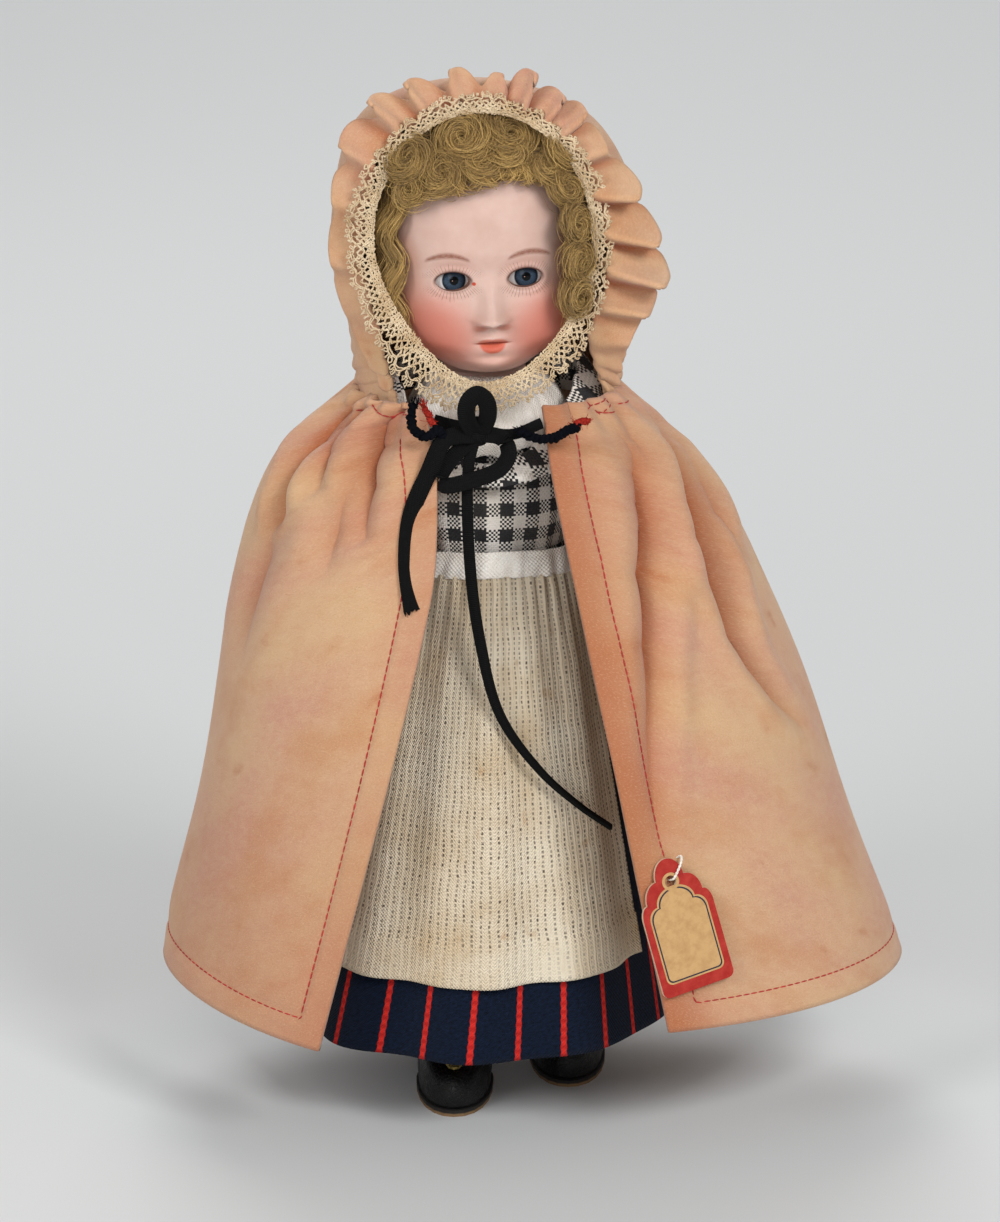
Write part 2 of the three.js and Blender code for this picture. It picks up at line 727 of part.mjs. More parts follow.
function eyeCutter(side) {
  const seat = moved(new THREE.SphereGeometry(eyeRadius + fit, 14, 10), side * eyeSpacing / 2, eyeY, eyeZ);
  const lids = rod(1, far, 16).scale(eyeOpening.halfWidth, 1, eyeOpening.halfHeight);
  return solid(seat).add(solid(moved(lids, side * eyeSpacing / 2, -far / 2 + eyeY, eyeZ)));
}

const bisqueHead = eggOutside
  .subtract(cavity)
  .subtract(above(cutZ))
  .subtract(eyeCutter(1))
  .subtract(eyeCutter(-1))
  .subtract(solid(barAlongZ(stringHole, -far, -socketRadius / 2, 0, 0, 14)));
add(head, "bisque_head", "bisque", bisqueHead);

// Crown: a domed card pate on the cut rim, carrying the wig

const egg = (grow) => solid(headForm(-grow, coarseLevels, 19, false));
const pate = egg(0).subtract(egg(-pateThickness)).intersect(above(cutZ + fit));
add(head, "crown_pate", "card", pate);

// Wig: mohair over the pate, back and temples, with rolled curls round the face

const faceMid = wigBottom + (hairline - wigBottom) / 2;
const faceWindow = new THREE.CylinderGeometry(1, 1, far, 28)
  .scale(faceHalfWidth, 1, hairline - faceMid + 1)
  .translate(0, -far / 2 - 6, chinRise + faceMid - 1);
const headCore = egg(fit + 1.1);

function curl(x, y, up, spin, scale = 1) {
  const shape = new THREE.TorusGeometry(curlRadius * scale, curlTube * scale, 5, 9).rotateX(Math.PI / 2);
  shape.rotateZ(radians(spin));
  return solid(moved(shape, x, y, chinRise + up));
}

const curlRow = [
  [-14, -19.2, 45, -38, 0.95],
  [-5.5, -22, 47.2, -12, 1],
  [5, -22, 47.4, 10, 1],
  [13.6, -19.4, 46, 36, 0.95],
  [19, -12.6, 38, 58, 0.8],
  [-19, -12.6, 37.5, -58, 0.8],
  [20.6, -12.5, 28, 60, 0.8],
  [-20.6, -12.5, 28, -60, 0.8],
  [20, -12, 18.5, 60, 0.75],
  [-20, -12, 18.5, -60, 0.75],
];
const wig = curlRow
  .reduce((sum, c) => sum.add(curl(...c)), egg(wigThickness).subtract(solid(faceWindow)))
  .subtract(headCore)
  .subtract(below(chinRise + wigBottom))
  .subtract(solid(block(-far, far, -far, -headFront * 0.6, -far, chinRise + eyeRise)));
add(head, "wig", "mohair", wig.decompose().sort((a, b) => b.volume() - a.volume())[0]);

// Sleeping eyes: blown glass cups on a cranked wire, a lead weight, and plaster bearings in the head

const eyeBack = 2.6; // the cups are open behind this
for (const [name, side] of [["left", 1], ["right", -1]]) {
  const x = side * eyeSpacing / 2;
  const ball = (r) => solid(moved(new THREE.SphereGeometry(r, 12, 8), x, eyeY, eyeZ));
  const behind = solid(block(-far, far, eyeY + eyeBack, far, -far, far));
  add(head, `${name}_eye`, "glass", ball(eyeRadius).subtract(ball(eyeRadius - eyeGlass)).subtract(behind));
}

const pivotX = eyeSpacing / 2 + eyeRadius + rockerWire + fit;
const crankY = eyeY + eyeRadius + rockerWire;
const stem = (from, to, x, z, r) =>
  moved(new THREE.CylinderGeometry(r, r, to - from, 10), x, (from + to) / 2, z);
const rocker = [
  barAlongX(rockerWire, -pivotX - rockerWire, pivotX + rockerWire, crankY, eyeZ, 8),
  stem(eyeY, crankY, pivotX, eyeZ, rockerWire),
  stem(eyeY, crankY, -pivotX, eyeZ, rockerWire),
  barAlongX(rockerWire, pivotX - rockerWire, pivotX + 1.1, eyeY, eyeZ, 8),
  barAlongX(rockerWire, -pivotX - 1.1, -pivotX + rockerWire, eyeY, eyeZ, 8),
  stem(eyeY + 1, crankY, eyeSpacing / 2, eyeZ, eyeRadius * 0.45),
  stem(eyeY + 1, crankY, -eyeSpacing / 2, eyeZ, eyeRadius * 0.45),
  barAlongZ(rockerWire, eyeZ - eyeRadius - 3, eyeZ, 0, crankY, 8),
].reduce((sum, shape) => (sum ? sum.add(solid(shape)) : solid(shape)), null);
add(head, "eye_rocker", "wire", rocker);
const weightTop = eyeZ - eyeRadius - 3 - fit;
const weight = barAlongZ(weightRadius, weightTop - weightLength, weightTop, 0, crankY, 14);
add(head, "eye_weight", "lead", weight);

const plasterRadius = 3.6;
for (const [name, side] of [["left", 1], ["right", -1]]) {
  const dab = moved(new THREE.SphereGeometry(plasterRadius, 12, 8), side * (pivotX + 2.6), eyeY + 0.6, eyeZ);
  const room = solid(headForm(bisqueWall + fit, coarseLevels, 18, false));
  const bearing = solid(barAlongX(rockerWire + fit, -pivotX - 1.7, pivotX + 1.7, eyeY, eyeZ, 10));
  const crankRoom = solid(block(-pivotX - rockerWire - fit, pivotX + rockerWire + fit, -far, far, -far, far));
  const made = solid(dab).intersect(room).subtract(bearing).subtract(crankRoom);
  add(head, `${name}_eye_bearing`, "plaster", made);
}

// Neck: a turned plug inside the socket ball with the hook that the long elastic pulls on

const plugRadius = 6.2;
const plugBottom = -Math.sqrt((socketRadius - bisqueWall - fit) ** 2 - plugRadius ** 2);
const plugHeight = 4.5;
const plugHole = hookWire + 0.3;
const plug = solid(barAlongZ(plugRadius, plugBottom, plugBottom + plugHeight, 0, 0, 18)).subtract(
  solid(barAlongZ(plugHole, -far, far, 0, 0, 10)),
);
add(head, "neck_plug", "wood", plug);
const hookTop = plugBottom + plugHeight;
const hookBend = strandGap + 0.9;
const neckHook = wire(
  [
    [2.2, 0, hookTop + hookWire + fit],
    [0.6, 0, hookTop + hookWire + fit],
    [0, 0, hookTop - 0.4],
    [0, 0, -neckHookDrop + 2 * strandGap + 3],
    [-hookBend, 0, -neckHookDrop + strandGap],
    [-hookBend, 0, -neckHookDrop + 0.6],
    [0, 0, -neckHookDrop - 1.1],
    [hookBend, 0, -neckHookDrop + 0.6],
    [hookBend, 0, -neckHookDrop + strandGap + 1],
  ],
  hookWire,
  20,
);
add(head, "neck_hook", "wire", neckHook);

// Blouse: a gingham bodice round the torso, open at the neck and the armholes

const armholes = solid(barAlongX(armHoleRadius, -far, far, 0, shoulderZ, 16));
const blouse = solid(torsoForm(blouseGap, waistShare - 0.05, 1))
  .subtract(solid(torsoForm(ease, waistShare - 0.2, 1.02)))
  .subtract(armholes);
add(doll, "blouse", "gingham", blouse);

// Collar: a white cotton ring lying over the neck of the blouse

const collarInner = neckRadius + 2.4;
const collarLow = neckRimRadius + blouseGap + ease + 2.6;
const collarProfile = [
  [collarInner, neckZ + 7],
  [collarInner + collarCloth, neckZ + 7],
  [neckRimRadius + blouseGap + ease + collarCloth, neckZ + 1.2],
  [collarLow + collarCloth, neckZ + 7 - collarDrop],
  [collarLow, neckZ + 7 - collarDrop],
  [neckRimRadius + blouseGap + ease, neckZ + 1.2],
  [collarInner, neckZ + 7],
];
const collarLine = collarProfile.map((p) => new THREE.Vector2(...p));
const collar = new THREE.LatheGeometry(collarLine, 20).rotateX(Math.PI / 2);
add(doll, "collar", "whiteCotton", collar);

// Kerchief: gingham folded round the neck and shoulders, low at the front, under the neck of the cape

const capeTop = neckZ + 2.6;
const kerchiefTop = { side: 22, front: 20.4, back: 21, rise: 10.5, dip: 7.5 }; // above and below the socket
const kerchiefBottom = { front: 24, drop: 2.5, dip: 17 };

function onKerchief(u, v) {
  const turn = u * 2 * Math.PI;
  const ahead = Math.max(0, Math.cos(turn)) ** 1.3;
  const inside = capeCloth / 2 + kerchiefCloth / 2 + fit;
  const bulge = 1 + 0.05 * Math.sin(Math.PI * v);
  const size = (top, bottom) => lerp(top, bottom, v) * bulge;
  const high = lerp(neckZ + kerchiefTop.rise, neckZ - kerchiefTop.dip, ahead);
  const low = lerp(neckZ - kerchiefBottom.drop, neckZ - kerchiefBottom.dip, ahead);
  return onRing(turn, lerp(high, low, v), {
    side: size(kerchiefTop.side, capeNeck.side - inside),
    front: size(kerchiefTop.front, kerchiefBottom.front),
    back: size(kerchiefTop.back, capeNeck.back - inside),
  });
}
add(doll, "kerchief", "gingham", sheet(onKerchief, 28, 2, kerchiefCloth, true));

// Skirt and apron: a gathered bell of cloth, and a flat apron that follows it at the front

const waistRing = torsoRadii(waistShare).map((r) => r + blouseGap + ease + skirtCloth / 2 + 0.2);
const skirtTop = waistZ - 0.8;
const skirtLean = -2; // the hem sits this far to the doll's right

// The skirt's middle surface, pushed out by `out`, at an angle from the front and a height.
function onSkirt(turn, z, out) {
  const drop = THREE.MathUtils.clamp((skirtTop - z) / (skirtTop - skirtHem), 0, 1);
  const flare = drop ** 0.85;
  const fold = (0.25 + 1.5 * drop) * Math.cos(skirtFolds * turn + 0.6) * (0.7 + 0.3 * Math.cos(2 * turn + 1));
  const grow = out + fold + (0.25 + 1.5 * drop) * 0.4;
  return onRing(turn, z, {
    square: lerp(2.3, 2, Math.min(1, drop * 3)),
    x: skirtLean * drop,
    side: lerp(waistRing[0], skirtHemRadius.side, flare) + grow,
    front: lerp(waistRing[1], skirtHemRadius.front, flare) + grow,
    back: lerp(waistRing[2], skirtHemRadius.back, flare) + grow,
  });
}
const skirtPoint = (u, v) => onSkirt(u * 2 * Math.PI, lerp(skirtTop, skirtHem, v), 0);
add(doll, "skirt", "navyWool", sheet(skirtPoint, 40, 6, skirtCloth, true));

const apronOut = skirtCloth / 2 + ease + apronCloth / 2;
const bandTop = waistZ + 1.6;
const bandBottom = bandTop - waistbandHeight;
const apronTop = bandBottom - fit;
const apronPoint = (u, v) => {
  const turn = radians(lerp(-apronSpread, apronSpread, u));
  return onSkirt(turn, lerp(apronTop, apronHem, v), apronOut);
};
add(doll, "apron", "apronCotton", sheet(apronPoint, 16, 6, apronCloth));
const bandPoint = (u, v) => {
  const p = onSkirt(u * 2 * Math.PI, Math.min(skirtTop, lerp(bandTop, bandBottom, v)), apronOut + 0.2);
  return p.setZ(lerp(bandTop, bandBottom, v));
};
add(doll, "apron_waistband", "whiteCotton", sheet(bandPoint, 28, 1, apronCloth, true));

// Cape: one wide piece of felt gathered at the neck, open down the front

const capeElbowZ = hipHeight + capeElbowRise;
const capeShoulder = armPivotX + armRadius + ease + sleeveCloth + capeCloth;
const capeShoulderZ = shoulderZ + armRadius * 0.3;
const capeSize = through([
  [-capeTop, capeNeck.side, capeNeck.side, capeNeck.front, capeNeck.back, capeNeckOpening, capeNeckOpening],
  [
    -capeShoulderZ,
    capeShoulder + capeShoulderEase.right,
    capeShoulder + capeShoulderEase.left,
    torsoFront + capeShoulderEase.front,
    torsoBack + capeShoulderEase.back,
    capeShoulderOpening.right,
    capeShoulderOpening.left,
  ],
  [
    -capeElbowZ,
    capeElbow.right,
    capeElbow.left,
    capeElbow.front,
    capeElbow.back,
    capeElbowOpening.right,
    capeElbowOpening.left,
  ],
  [
    -capeHem.height,
    capeHem.right,
    capeHem.left,
    capeHem.front,
    capeHem.back,
    capeHemOpening.right,
    capeHemOpening.left,
  ],
]);

// The cape's middle surface: u from the doll's right front edge round the back to its left, v down.
function onCape(u, v) {
  const level = lerp(capeTop, capeHem.height, v);
  const [right, left, front, back, openRight, openLeft] = capeSize(-level);
  const first = Math.asin(Math.min(0.95, openRight / right));
  const last = 2 * Math.PI - Math.asin(Math.min(0.95, openLeft / left));
  const turn = lerp(first, last, u);
  const behind = smooth(u, 0.16, 0.3) * (1 - smooth(u, 0.68, 0.82));
  const gathers = capeFoldDepth * behind * smooth(v, 0, 0.14) * (1 - 0.6 * smooth(v, 0.2, 0.75));
  const fold = gathers * Math.cos(2 * Math.PI * capeFolds * u + 0.8 * Math.sin(5 * u));
  const edge = smooth(Math.min(u, 1 - u), 0, 0.06);
  const grow = fold * edge;
  const dip = capeHemDip * v * Math.max(0, Math.cos(turn)) ** 2;
  return onRing(-turn, level - dip, {
    left: left + grow,
    right: right + grow,
    front: front + grow,
    back: back + grow,
  });
}
add(doll, "cape", "felt", sheet(onCape, 44, 10, capeCloth));

// Hood: the felt goes from a gathered brim frill back over the wig to a seam down the back of the neck

const wigSide = headWidth / 2 + wigThickness;
const wigTop = neckZ + chinRise + headHeight + wigThickness;
const wigBack = headBack + wigThickness;
const hoodSide = wigSide + hoodEase;
const hoodTop = wigTop + hoodEase;
const hoodSeam = wigBack + hoodEase + 2;
const hoodMidZ = neckZ + chinRise + headHeight / 2;
const hoodLowZ = neckZ + chinRise + wigBottom + 2;
const hoodEdge = capeTop + fit + 0.5;
const gatherAt = 0.14; // share of the hood's depth in front of the gathering thread
const seamGap = 0.8; // each edge of the back seam from the middle

// Each station runs from the brim to the back: the crown, side and cheek points, and where it meets the neck.
const brimStation = {
  v: 0,
  top: [3 - hoodBrim, hoodTop + frillWidth - 1.6],
  side: [hoodSide + 6.4, hoodSide + 10, 5.5 - hoodBrim],
  low: [hoodSide, hoodSide + 0.4, -11.5],
  midZ: hoodMidZ,
  neck: 74,
};
const gatherStation = {
  v: gatherAt,
  top: [-hoodBrim, hoodTop - 0.5],
  side: [hoodSide + 0.8, hoodSide + 0.8, -hoodBrim],
  low: [hoodSide - 3, hoodSide - 3, -14],
  midZ: hoodMidZ,
  neck: 70,
};
const templeStation = {
  v: 0.32,
  top: [-9, hoodTop + 1],
  side: [hoodSide + 4, hoodSide + 5, -6],
  low: [hoodSide + 0.3, hoodSide + 0.8, -5],
  midZ: hoodMidZ,
  neck: 88,
};
const earStation = {
  v: 0.58,
  top: [9, hoodTop - 1.6],
  side: [hoodSide + 4.6, hoodSide + 5, 8],
  low: [hoodSide + 1.6, hoodSide + 1.6, 8],
  midZ: hoodMidZ - 2,
  neck: 112,
};
const backStation = {
  v: 0.82,
  top: [hoodSeam - 8, hoodTop - 13],
  side: [hoodSide - 5.2, hoodSide - 5.2, hoodSeam - 9],
  low: [hoodSide - 6.2, hoodSide - 6.2, hoodSeam - 11.7],
  midZ: hoodMidZ - 6,
  neck: 146,
};
const seamStation = {
  v: 1,
  top: [hoodSeam, hoodTop - 38],
  side: [seamGap, seamGap, hoodSeam - 1.5],
  low: [seamGap, seamGap, hoodSeam - 4],
  midZ: hoodMidZ - 10,
  neck: 178.4,
};
const hoodStations = [brimStation, gatherStation, templeStation, earStation, backStation, seamStation];
const hoodNet = through(
  hoodStations.map(({ v, top, side, low, midZ, neck }) => {
    const turn = radians(neck);
    const onNeck = [1, -1].map((s) =>
      onRing(s * turn, hoodEdge, { side: capeNeck.side, front: capeNeck.front, back: capeNeck.back }),
    );
    const lowZ = lerp(hoodLowZ, midZ, 0.05);
    const rise = lerp(midZ, top[1], 0.76);
    const back = lerp(side[2], top[0], 0.5);
    const right = [
      onNeck[1].toArray(),
      [-low[0], low[2], lowZ],
      [-side[0], side[2], midZ],
      [-side[0] * 0.79, back, rise],
    ];
    const left = [
      [side[1] * 0.79, back, rise],
      [side[1], side[2], midZ],
      [low[1], low[2], lowZ],
      onNeck[0].toArray(),
    ];
    return [v, ...right.flat(), 0, ...top, ...left.flat()];
  }),
);

// The hood's middle surface: u from the doll's right over the top to its left, v from brim to seam.
function onHood(u, v) {
  const row = hoodNet(v);
  const knots = [];
  for (let k = 0; k < row.length; k += 3) knots.push(new THREE.Vector3(row[k], row[k + 1], row[k + 2]));
  const p = new THREE.CatmullRomCurve3(knots, false, "centripetal").getPoint(u);
  const free = smooth(Math.min(u, 1 - u), 0.02, 0.2);
  const fullness = 0.7 + 0.5 * smooth(u, 0.3, 0.8);
  const frill = frillWave * fullness * (1 - smooth(v, 0, gatherAt)) + 0.9 * bump(v, gatherAt + 0.1, 0.12);
  const wave = frill * free * Math.cos(2 * Math.PI * frillWaves * u);
  const out = new THREE.Vector3(p.x, 0, p.z - hoodMidZ).normalize();
  return p.addScaledVector(out, wave * 0.55).add(new THREE.Vector3(0, -wave * 0.7, 0));
}
add(doll, "hood", "felt", sheet(onHood, 58, 7, hoodCloth));

// Lace: a narrow cotton edging round the face, in front of the gathers and under the chin

const laceLean = -1.5; // the ring sits this far to the doll's right
const laceAhead = hoodBrim + hoodCloth / 2 + laceThickness / 2 + fit;
const laceMidZ = (hoodTop + hoodEdge + 1.4) / 2;
const laceHigh = hoodTop - 0.2 - laceMidZ;

function onLace(u, v) {
  const turn = u * 2 * Math.PI;
  const narrow = lerp(laceWidth, laceWidth * 0.72, Math.max(0, Math.cos(turn)));
  const across = lerp(hoodSide + 0.5, hoodSide + 0.5 - narrow, v);
  const high = lerp(laceHigh, laceHigh - narrow, v);
  const low = Math.max(0, -Math.cos(turn));
  const y = -laceAhead - 8.5 * low ** 2 - 0.4 * v;
  return new THREE.Vector3(laceLean + across * Math.sin(turn), y, laceMidZ + high * Math.cos(turn));
}
add(doll, "hood_lace", "lace", sheet(onLace, 36, 1, laceThickness, true));

// Neck ribbon: drawn through the neck of the cape and tied in a bow, with one short and one long tail

// A flat strip along a smooth path, its width held along `wide` at each bend.
function strip(bends, width, thickness, steps) {
  const knots = bends.map((b) => new THREE.Vector3(b[0], b[1], b[2]));
  const path = new THREE.CatmullRomCurve3(knots, false, "centripetal");
  const turn = through(bends.map((b, k) => [k / (bends.length - 1), b[3]]));
  return skin(
    Array.from({ length: steps + 1 }, (_, k) => {
      const t = k / steps;
      const along = path.getTangent(t);
      const roll = radians(turn(t)[0]);
      const level = new THREE.Vector3(Math.cos(roll), Math.sin(roll) * 0.3, Math.sin(roll));
      const flat = along.clone().cross(level).normalize().multiplyScalar(thickness / 2);
      const wide = flat.clone().cross(along).normalize().multiplyScalar(width / 2);
      const p = path.getPoint(t);
      return [[1, 1], [-1, 1], [-1, -1], [1, -1]].map(([a, b]) =>
        p.clone().addScaledVector(wide, a).addScaledVector(flat, b),
      );
    }),
  );
}

const knot = { x: -2, y: -(capeNeck.front + 6), z: neckZ - 1.5 };
const knotSize = { wide: 3, deep: 2.4, high: 3.3 };
const shortTail = { midX: -9.6, endX: -16, drop: capeTop - capeElbowZ + 1.5 };
const longTail = { startX: -1.6, bendX: 0.4, turnX: 12, endX: 29, drop: capeTop - capeElbowZ + 53 };
const loopUp = [[-1, -2.6, 4.4, 10], [1.6, -3.2, 8.4, 20], [4.2, -1.8, 6.6, 20]];
const loopDown = [[3.4, -2.8, -4.6, 40], [8.4, -4.4, -8.6, 50], [10.6, -3, -5.4, 50]];

// A bend of the ribbon placed from the knot, and one that hangs in front of the doll's axis.
const offKnot = (x, y, z, turn) => [knot.x + x, knot.y + y, knot.z + z, turn];
const hanging = (x, z, ahead, turn) => [x, -ahead, z, turn];
const apronFront = (z) => -onSkirt(0, z, apronOut).y;
const capeFront = (z) => capeSize(-z)[2] + 2.4;
const tieAt = (u, inset) => {
  const z = knot.z + 1.4;
  const p = onCape(u, (capeTop - z) / (capeTop - capeHem.height));
  return [p.x + inset, p.y, z, 90];
};
const shortEnd = capeTop - shortTail.drop;
const longEnd = capeTop - longTail.drop;
const tailAhead = (z) => Math.max(-knot.y + 1.5, apronFront(z) + 2.6);
const tailAt = (share, x, turn) => {
  const z = lerp(knot.z, longEnd, share);
  return hanging(x, z, tailAhead(z), turn);
};
const bow = (bends) => [offKnot(0, -0.6, 0, 0), ...bends.map((b) => offKnot(...b)), offKnot(0.6, 0, 0.4, 10)];
const shortBends = [
  offKnot(-0.4, 0, 0, 0),
  offKnot(-3, -4, -6, -15),
  hanging(shortTail.midX, lerp(knot.z, shortEnd, 0.5), capeFront(shortEnd + 18), -20),
  hanging(shortTail.endX, shortEnd, capeFront(shortEnd), -15),
];
const longBends = [
  offKnot(0.4, 0, 0, 0),
  offKnot(1, -3.6, -7, 0),
  tailAt(0.27, longTail.startX, 10),
  tailAt(0.62, longTail.bendX, 30),
  tailAt(0.82, longTail.turnX, 50),
  hanging(longTail.endX, longEnd, tailAhead(longEnd) - 4, 50),
];
const knotBall = new THREE.SphereGeometry(1, 8, 5).scale(knotSize.wide, knotSize.deep, knotSize.high);
const ribbonPieces = [
  moved(knotBall, knot.x, knot.y, knot.z),
  strip([tieAt(0, 0.8), offKnot(0, 0, 0, 90), tieAt(1, -0.8)], ribbonWidth * 0.6, ribbonThickness, 6),
  strip(bow(loopUp), ribbonWidth, ribbonThickness, 8),
  strip(bow(loopDown), ribbonWidth, ribbonThickness, 8),
  strip(shortBends, ribbonWidth, ribbonThickness, 8),
  strip(longBends, ribbonWidth * 0.6, ribbonThickness, 13),
].map(solid);
add(doll, "neck_ribbon", "ribbon", ribbonPieces.reduce((sum, piece) => sum.add(piece)));

// Swing tag: plain card on a thread at the cape's left front edge, free to swing about its hole

const tagPlace = { u: 0.983, v: 0.74 }; // on the cape
const tagStandoff = capeCloth / 2 + tagThickness / 2 + 1.6;
const tagSwing = 12.5; // degrees it hangs off the vertical
const tagHead = { half: 3.6, rise: 5.6, neck: 0.9 }; // the rounded head, from the hole
const tagStep = { half: 7.2, drop: 3.9 }; // the upper of its two shoulders
const tagShoulder = 7.4; // hole down to the full width
const tagCorner = 1.7; // radius of its lower corners

function tagFrame() {
  const step = 1e-3;
  const at = onCape(tagPlace.u, tagPlace.v);
  const across = onCape(tagPlace.u - step, tagPlace.v).sub(onCape(tagPlace.u + step, tagPlace.v));
  const down = onCape(tagPlace.u, tagPlace.v + step).sub(onCape(tagPlace.u, tagPlace.v - step));
  const normal = down.clone().cross(across).normalize();
  const out = normal.y < 0 ? normal : normal.negate();
  const up = new THREE.Vector3(0, 0, 1).addScaledVector(out, -out.z).normalize();
  const side = up.clone().cross(out).normalize();
  return new THREE.Matrix4().makeBasis(side, up, out).setPosition(at.addScaledVector(out, tagStandoff));
}

const tag = new THREE.Group();
tag.name = "tag";
tagFrame().decompose(tag.position, tag.quaternion, tag.scale);
doll.add(tag);

const tagHalf = tagWidth / 2;
const tagFoot = tagHead.rise - tagLength;

// One side's arcs, each as its centre and its two radii, from the lower corner up to the head.
const tagArcs = [
  [tagHalf - tagCorner, tagFoot + tagCorner, tagCorner, tagCorner],
  [tagStep.half, -tagShoulder, tagHalf - tagStep.half, tagShoulder - tagStep.drop],
  [tagHead.half, -tagStep.drop, tagStep.half - tagHead.half, tagStep.drop + tagHead.neck],
];
const tagOutline = new THREE.Shape();
tagArcs.forEach(([x, y, wide, high], k) => {
  tagOutline.absellipse(x, y, wide, high, k ? 0 : -Math.PI / 2, k ? Math.PI / 2 : 0);
});
tagOutline.absellipse(0, tagHead.neck, tagHead.half, tagHead.rise - tagHead.neck, 0, Math.PI);
[...tagArcs].reverse().forEach(([x, y, wide, high], k) => {
  const corner = k === tagArcs.length - 1;
  tagOutline.absellipse(-x, y, wide, high, corner ? Math.PI : Math.PI / 2, corner ? Math.PI * 1.5 : Math.PI);
});
tagOutline.closePath();
tagOutline.holes.push(new THREE.Path().absarc(0, 0, tagHole, 0, 2 * Math.PI, true));
const tagCut = { depth: tagThickness, bevelEnabled: false, curveSegments: 4 };
const tagCard = new THREE.ExtrudeGeometry(tagOutline, tagCut)
  .translate(0, 0, -tagThickness / 2)
  .rotateZ(radians(tagSwing));
add(tag, "swing_tag", "tagCard", tagCard);
const threadTop = tagHead.rise + 1.2;
const threadOut = tagThickness / 2 + threadRadius + fit;
const thread = loop(
  [
    [0, 0, 0],
    [0, tagHead.rise * 0.4, threadOut],
    [0, threadTop, threadOut * 0.8],
    [0, threadTop + 0.9, 0],
    [0, threadTop, -threadOut * 0.8],
    [0, tagHead.rise * 0.4, -threadOut],
  ],
  threadRadius,
  18,
  4,
);
add(tag, "tag_thread", "thread", thread);

export default doll;
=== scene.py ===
import json
import math

import bpy
import numpy as np
from mathutils import Matrix, Vector
from mathutils.geometry import tessellate_polygon


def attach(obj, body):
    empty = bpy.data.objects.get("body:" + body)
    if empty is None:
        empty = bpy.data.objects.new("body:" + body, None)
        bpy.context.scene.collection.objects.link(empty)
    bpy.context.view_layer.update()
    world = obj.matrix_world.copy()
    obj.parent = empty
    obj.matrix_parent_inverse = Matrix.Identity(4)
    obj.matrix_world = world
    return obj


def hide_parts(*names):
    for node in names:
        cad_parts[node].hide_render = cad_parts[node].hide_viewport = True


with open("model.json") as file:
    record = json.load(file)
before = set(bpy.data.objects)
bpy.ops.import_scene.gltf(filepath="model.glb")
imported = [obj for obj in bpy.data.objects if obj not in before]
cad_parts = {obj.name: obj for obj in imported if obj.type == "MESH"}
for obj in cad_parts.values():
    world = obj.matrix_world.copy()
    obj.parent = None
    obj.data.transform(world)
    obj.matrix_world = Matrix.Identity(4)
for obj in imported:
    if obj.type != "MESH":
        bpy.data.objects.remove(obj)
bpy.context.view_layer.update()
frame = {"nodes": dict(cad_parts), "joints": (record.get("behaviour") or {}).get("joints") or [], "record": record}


# Stage: pale paper laid flat under and far behind the doll, bent up at its end, soft lamps and a dim sky.
# The camera stands a little above the doll's head, in front of it, where the photograph was taken from.

def linear(code):
    """The light that a hex colour stands for."""
    parts = [int(code[i:i + 2], 16) / 255 for i in (1, 3, 5)]
    return tuple(c / 12.92 if c < 0.04045 else ((c + 0.055) / 1.055) ** 2.4 for c in parts) + (1.0,)


def fill(tree, node, inputs):
    """Sets or links inputs of a node; a node stands for its first output in use, a hex code for a colour."""
    for key, value in inputs.items():
        if isinstance(value, bpy.types.Node):
            value = next(socket for socket in value.outputs if socket.enabled)
        if isinstance(value, bpy.types.NodeSocket):
            tree.links.new(value, node.inputs[key])
        else:
            is_colour = isinstance(value, str) and value.startswith("#")
            node.inputs[key].default_value = linear(value) if is_colour else value


def start_material(name, **sockets):
    """A new material, its tree and its shader, with inputs of the shader set by their names."""
    made = bpy.data.materials.new(name)
    made.use_nodes = True
    tree = made.node_tree
    shader = tree.nodes["Principled BSDF"]
    fill(tree, shader, {socket.replace("_", " "): value for socket, value in sockets.items()})
    return made, tree, shader


look_at = Vector((-0.00795, -0.0002, 0.1198))
camera_up = math.radians(15)
camera_away = 1.25
seen_height = 0.2962  # what the picture's height takes in at that distance
film_height = 24

camera = bpy.data.objects.new("camera", bpy.data.cameras.new("camera"))
camera.data.sensor_fit = "VERTICAL"
camera.data.sensor_height = film_height
camera.data.lens = film_height * camera_away / seen_height
camera.data.clip_start = 0.01
camera.location = look_at + camera_away * Vector((0, -math.cos(camera_up), math.sin(camera_up)))
camera.rotation_euler = (math.pi / 2 - camera_up, 0, 0)
bpy.context.collection.objects.link(camera)
bpy.context.scene.camera = camera
bpy.context.scene.view_settings.view_transform = "Standard"

for name, place, aim, size, watts in (
    ("left_lamp", (-0.85, -1.0, 0.8), (0, 0, 0.12), 0.5, 8.0),
    ("right_lamp", (0.72, -1.1, 1.0), (0, 0, 0.12), 0.5, 13.5),
    ("front_lamp", (-0.05, -1.4, 0.4), (0, 0, 0.12), 0.5, 2.0),
    ("back_lamp", (-0.2, 0.9, 1.1), (0, 0, 0.12), 0.6, 4.5),
    ("paper_lamp", (0.0, 2.0, 1.6), (0, 2.0, 0), 1.4, 18.0),
):
    lamp = bpy.data.objects.new(name, bpy.data.lights.new(name, "AREA"))
    lamp.data.size = size
    lamp.data.energy = watts
    lamp.location = place
    lamp.rotation_euler = (Vector(aim) - Vector(place)).to_track_quat("-Z", "Y").to_euler()
    bpy.context.collection.objects.link(lamp)

world = bpy.data.worlds.new("studio")
world.use_nodes = True
fill(world.node_tree, world.node_tree.nodes["Background"], {"Color": "#f2f1ef", "Strength": 0.34})
bpy.context.scene.world = world

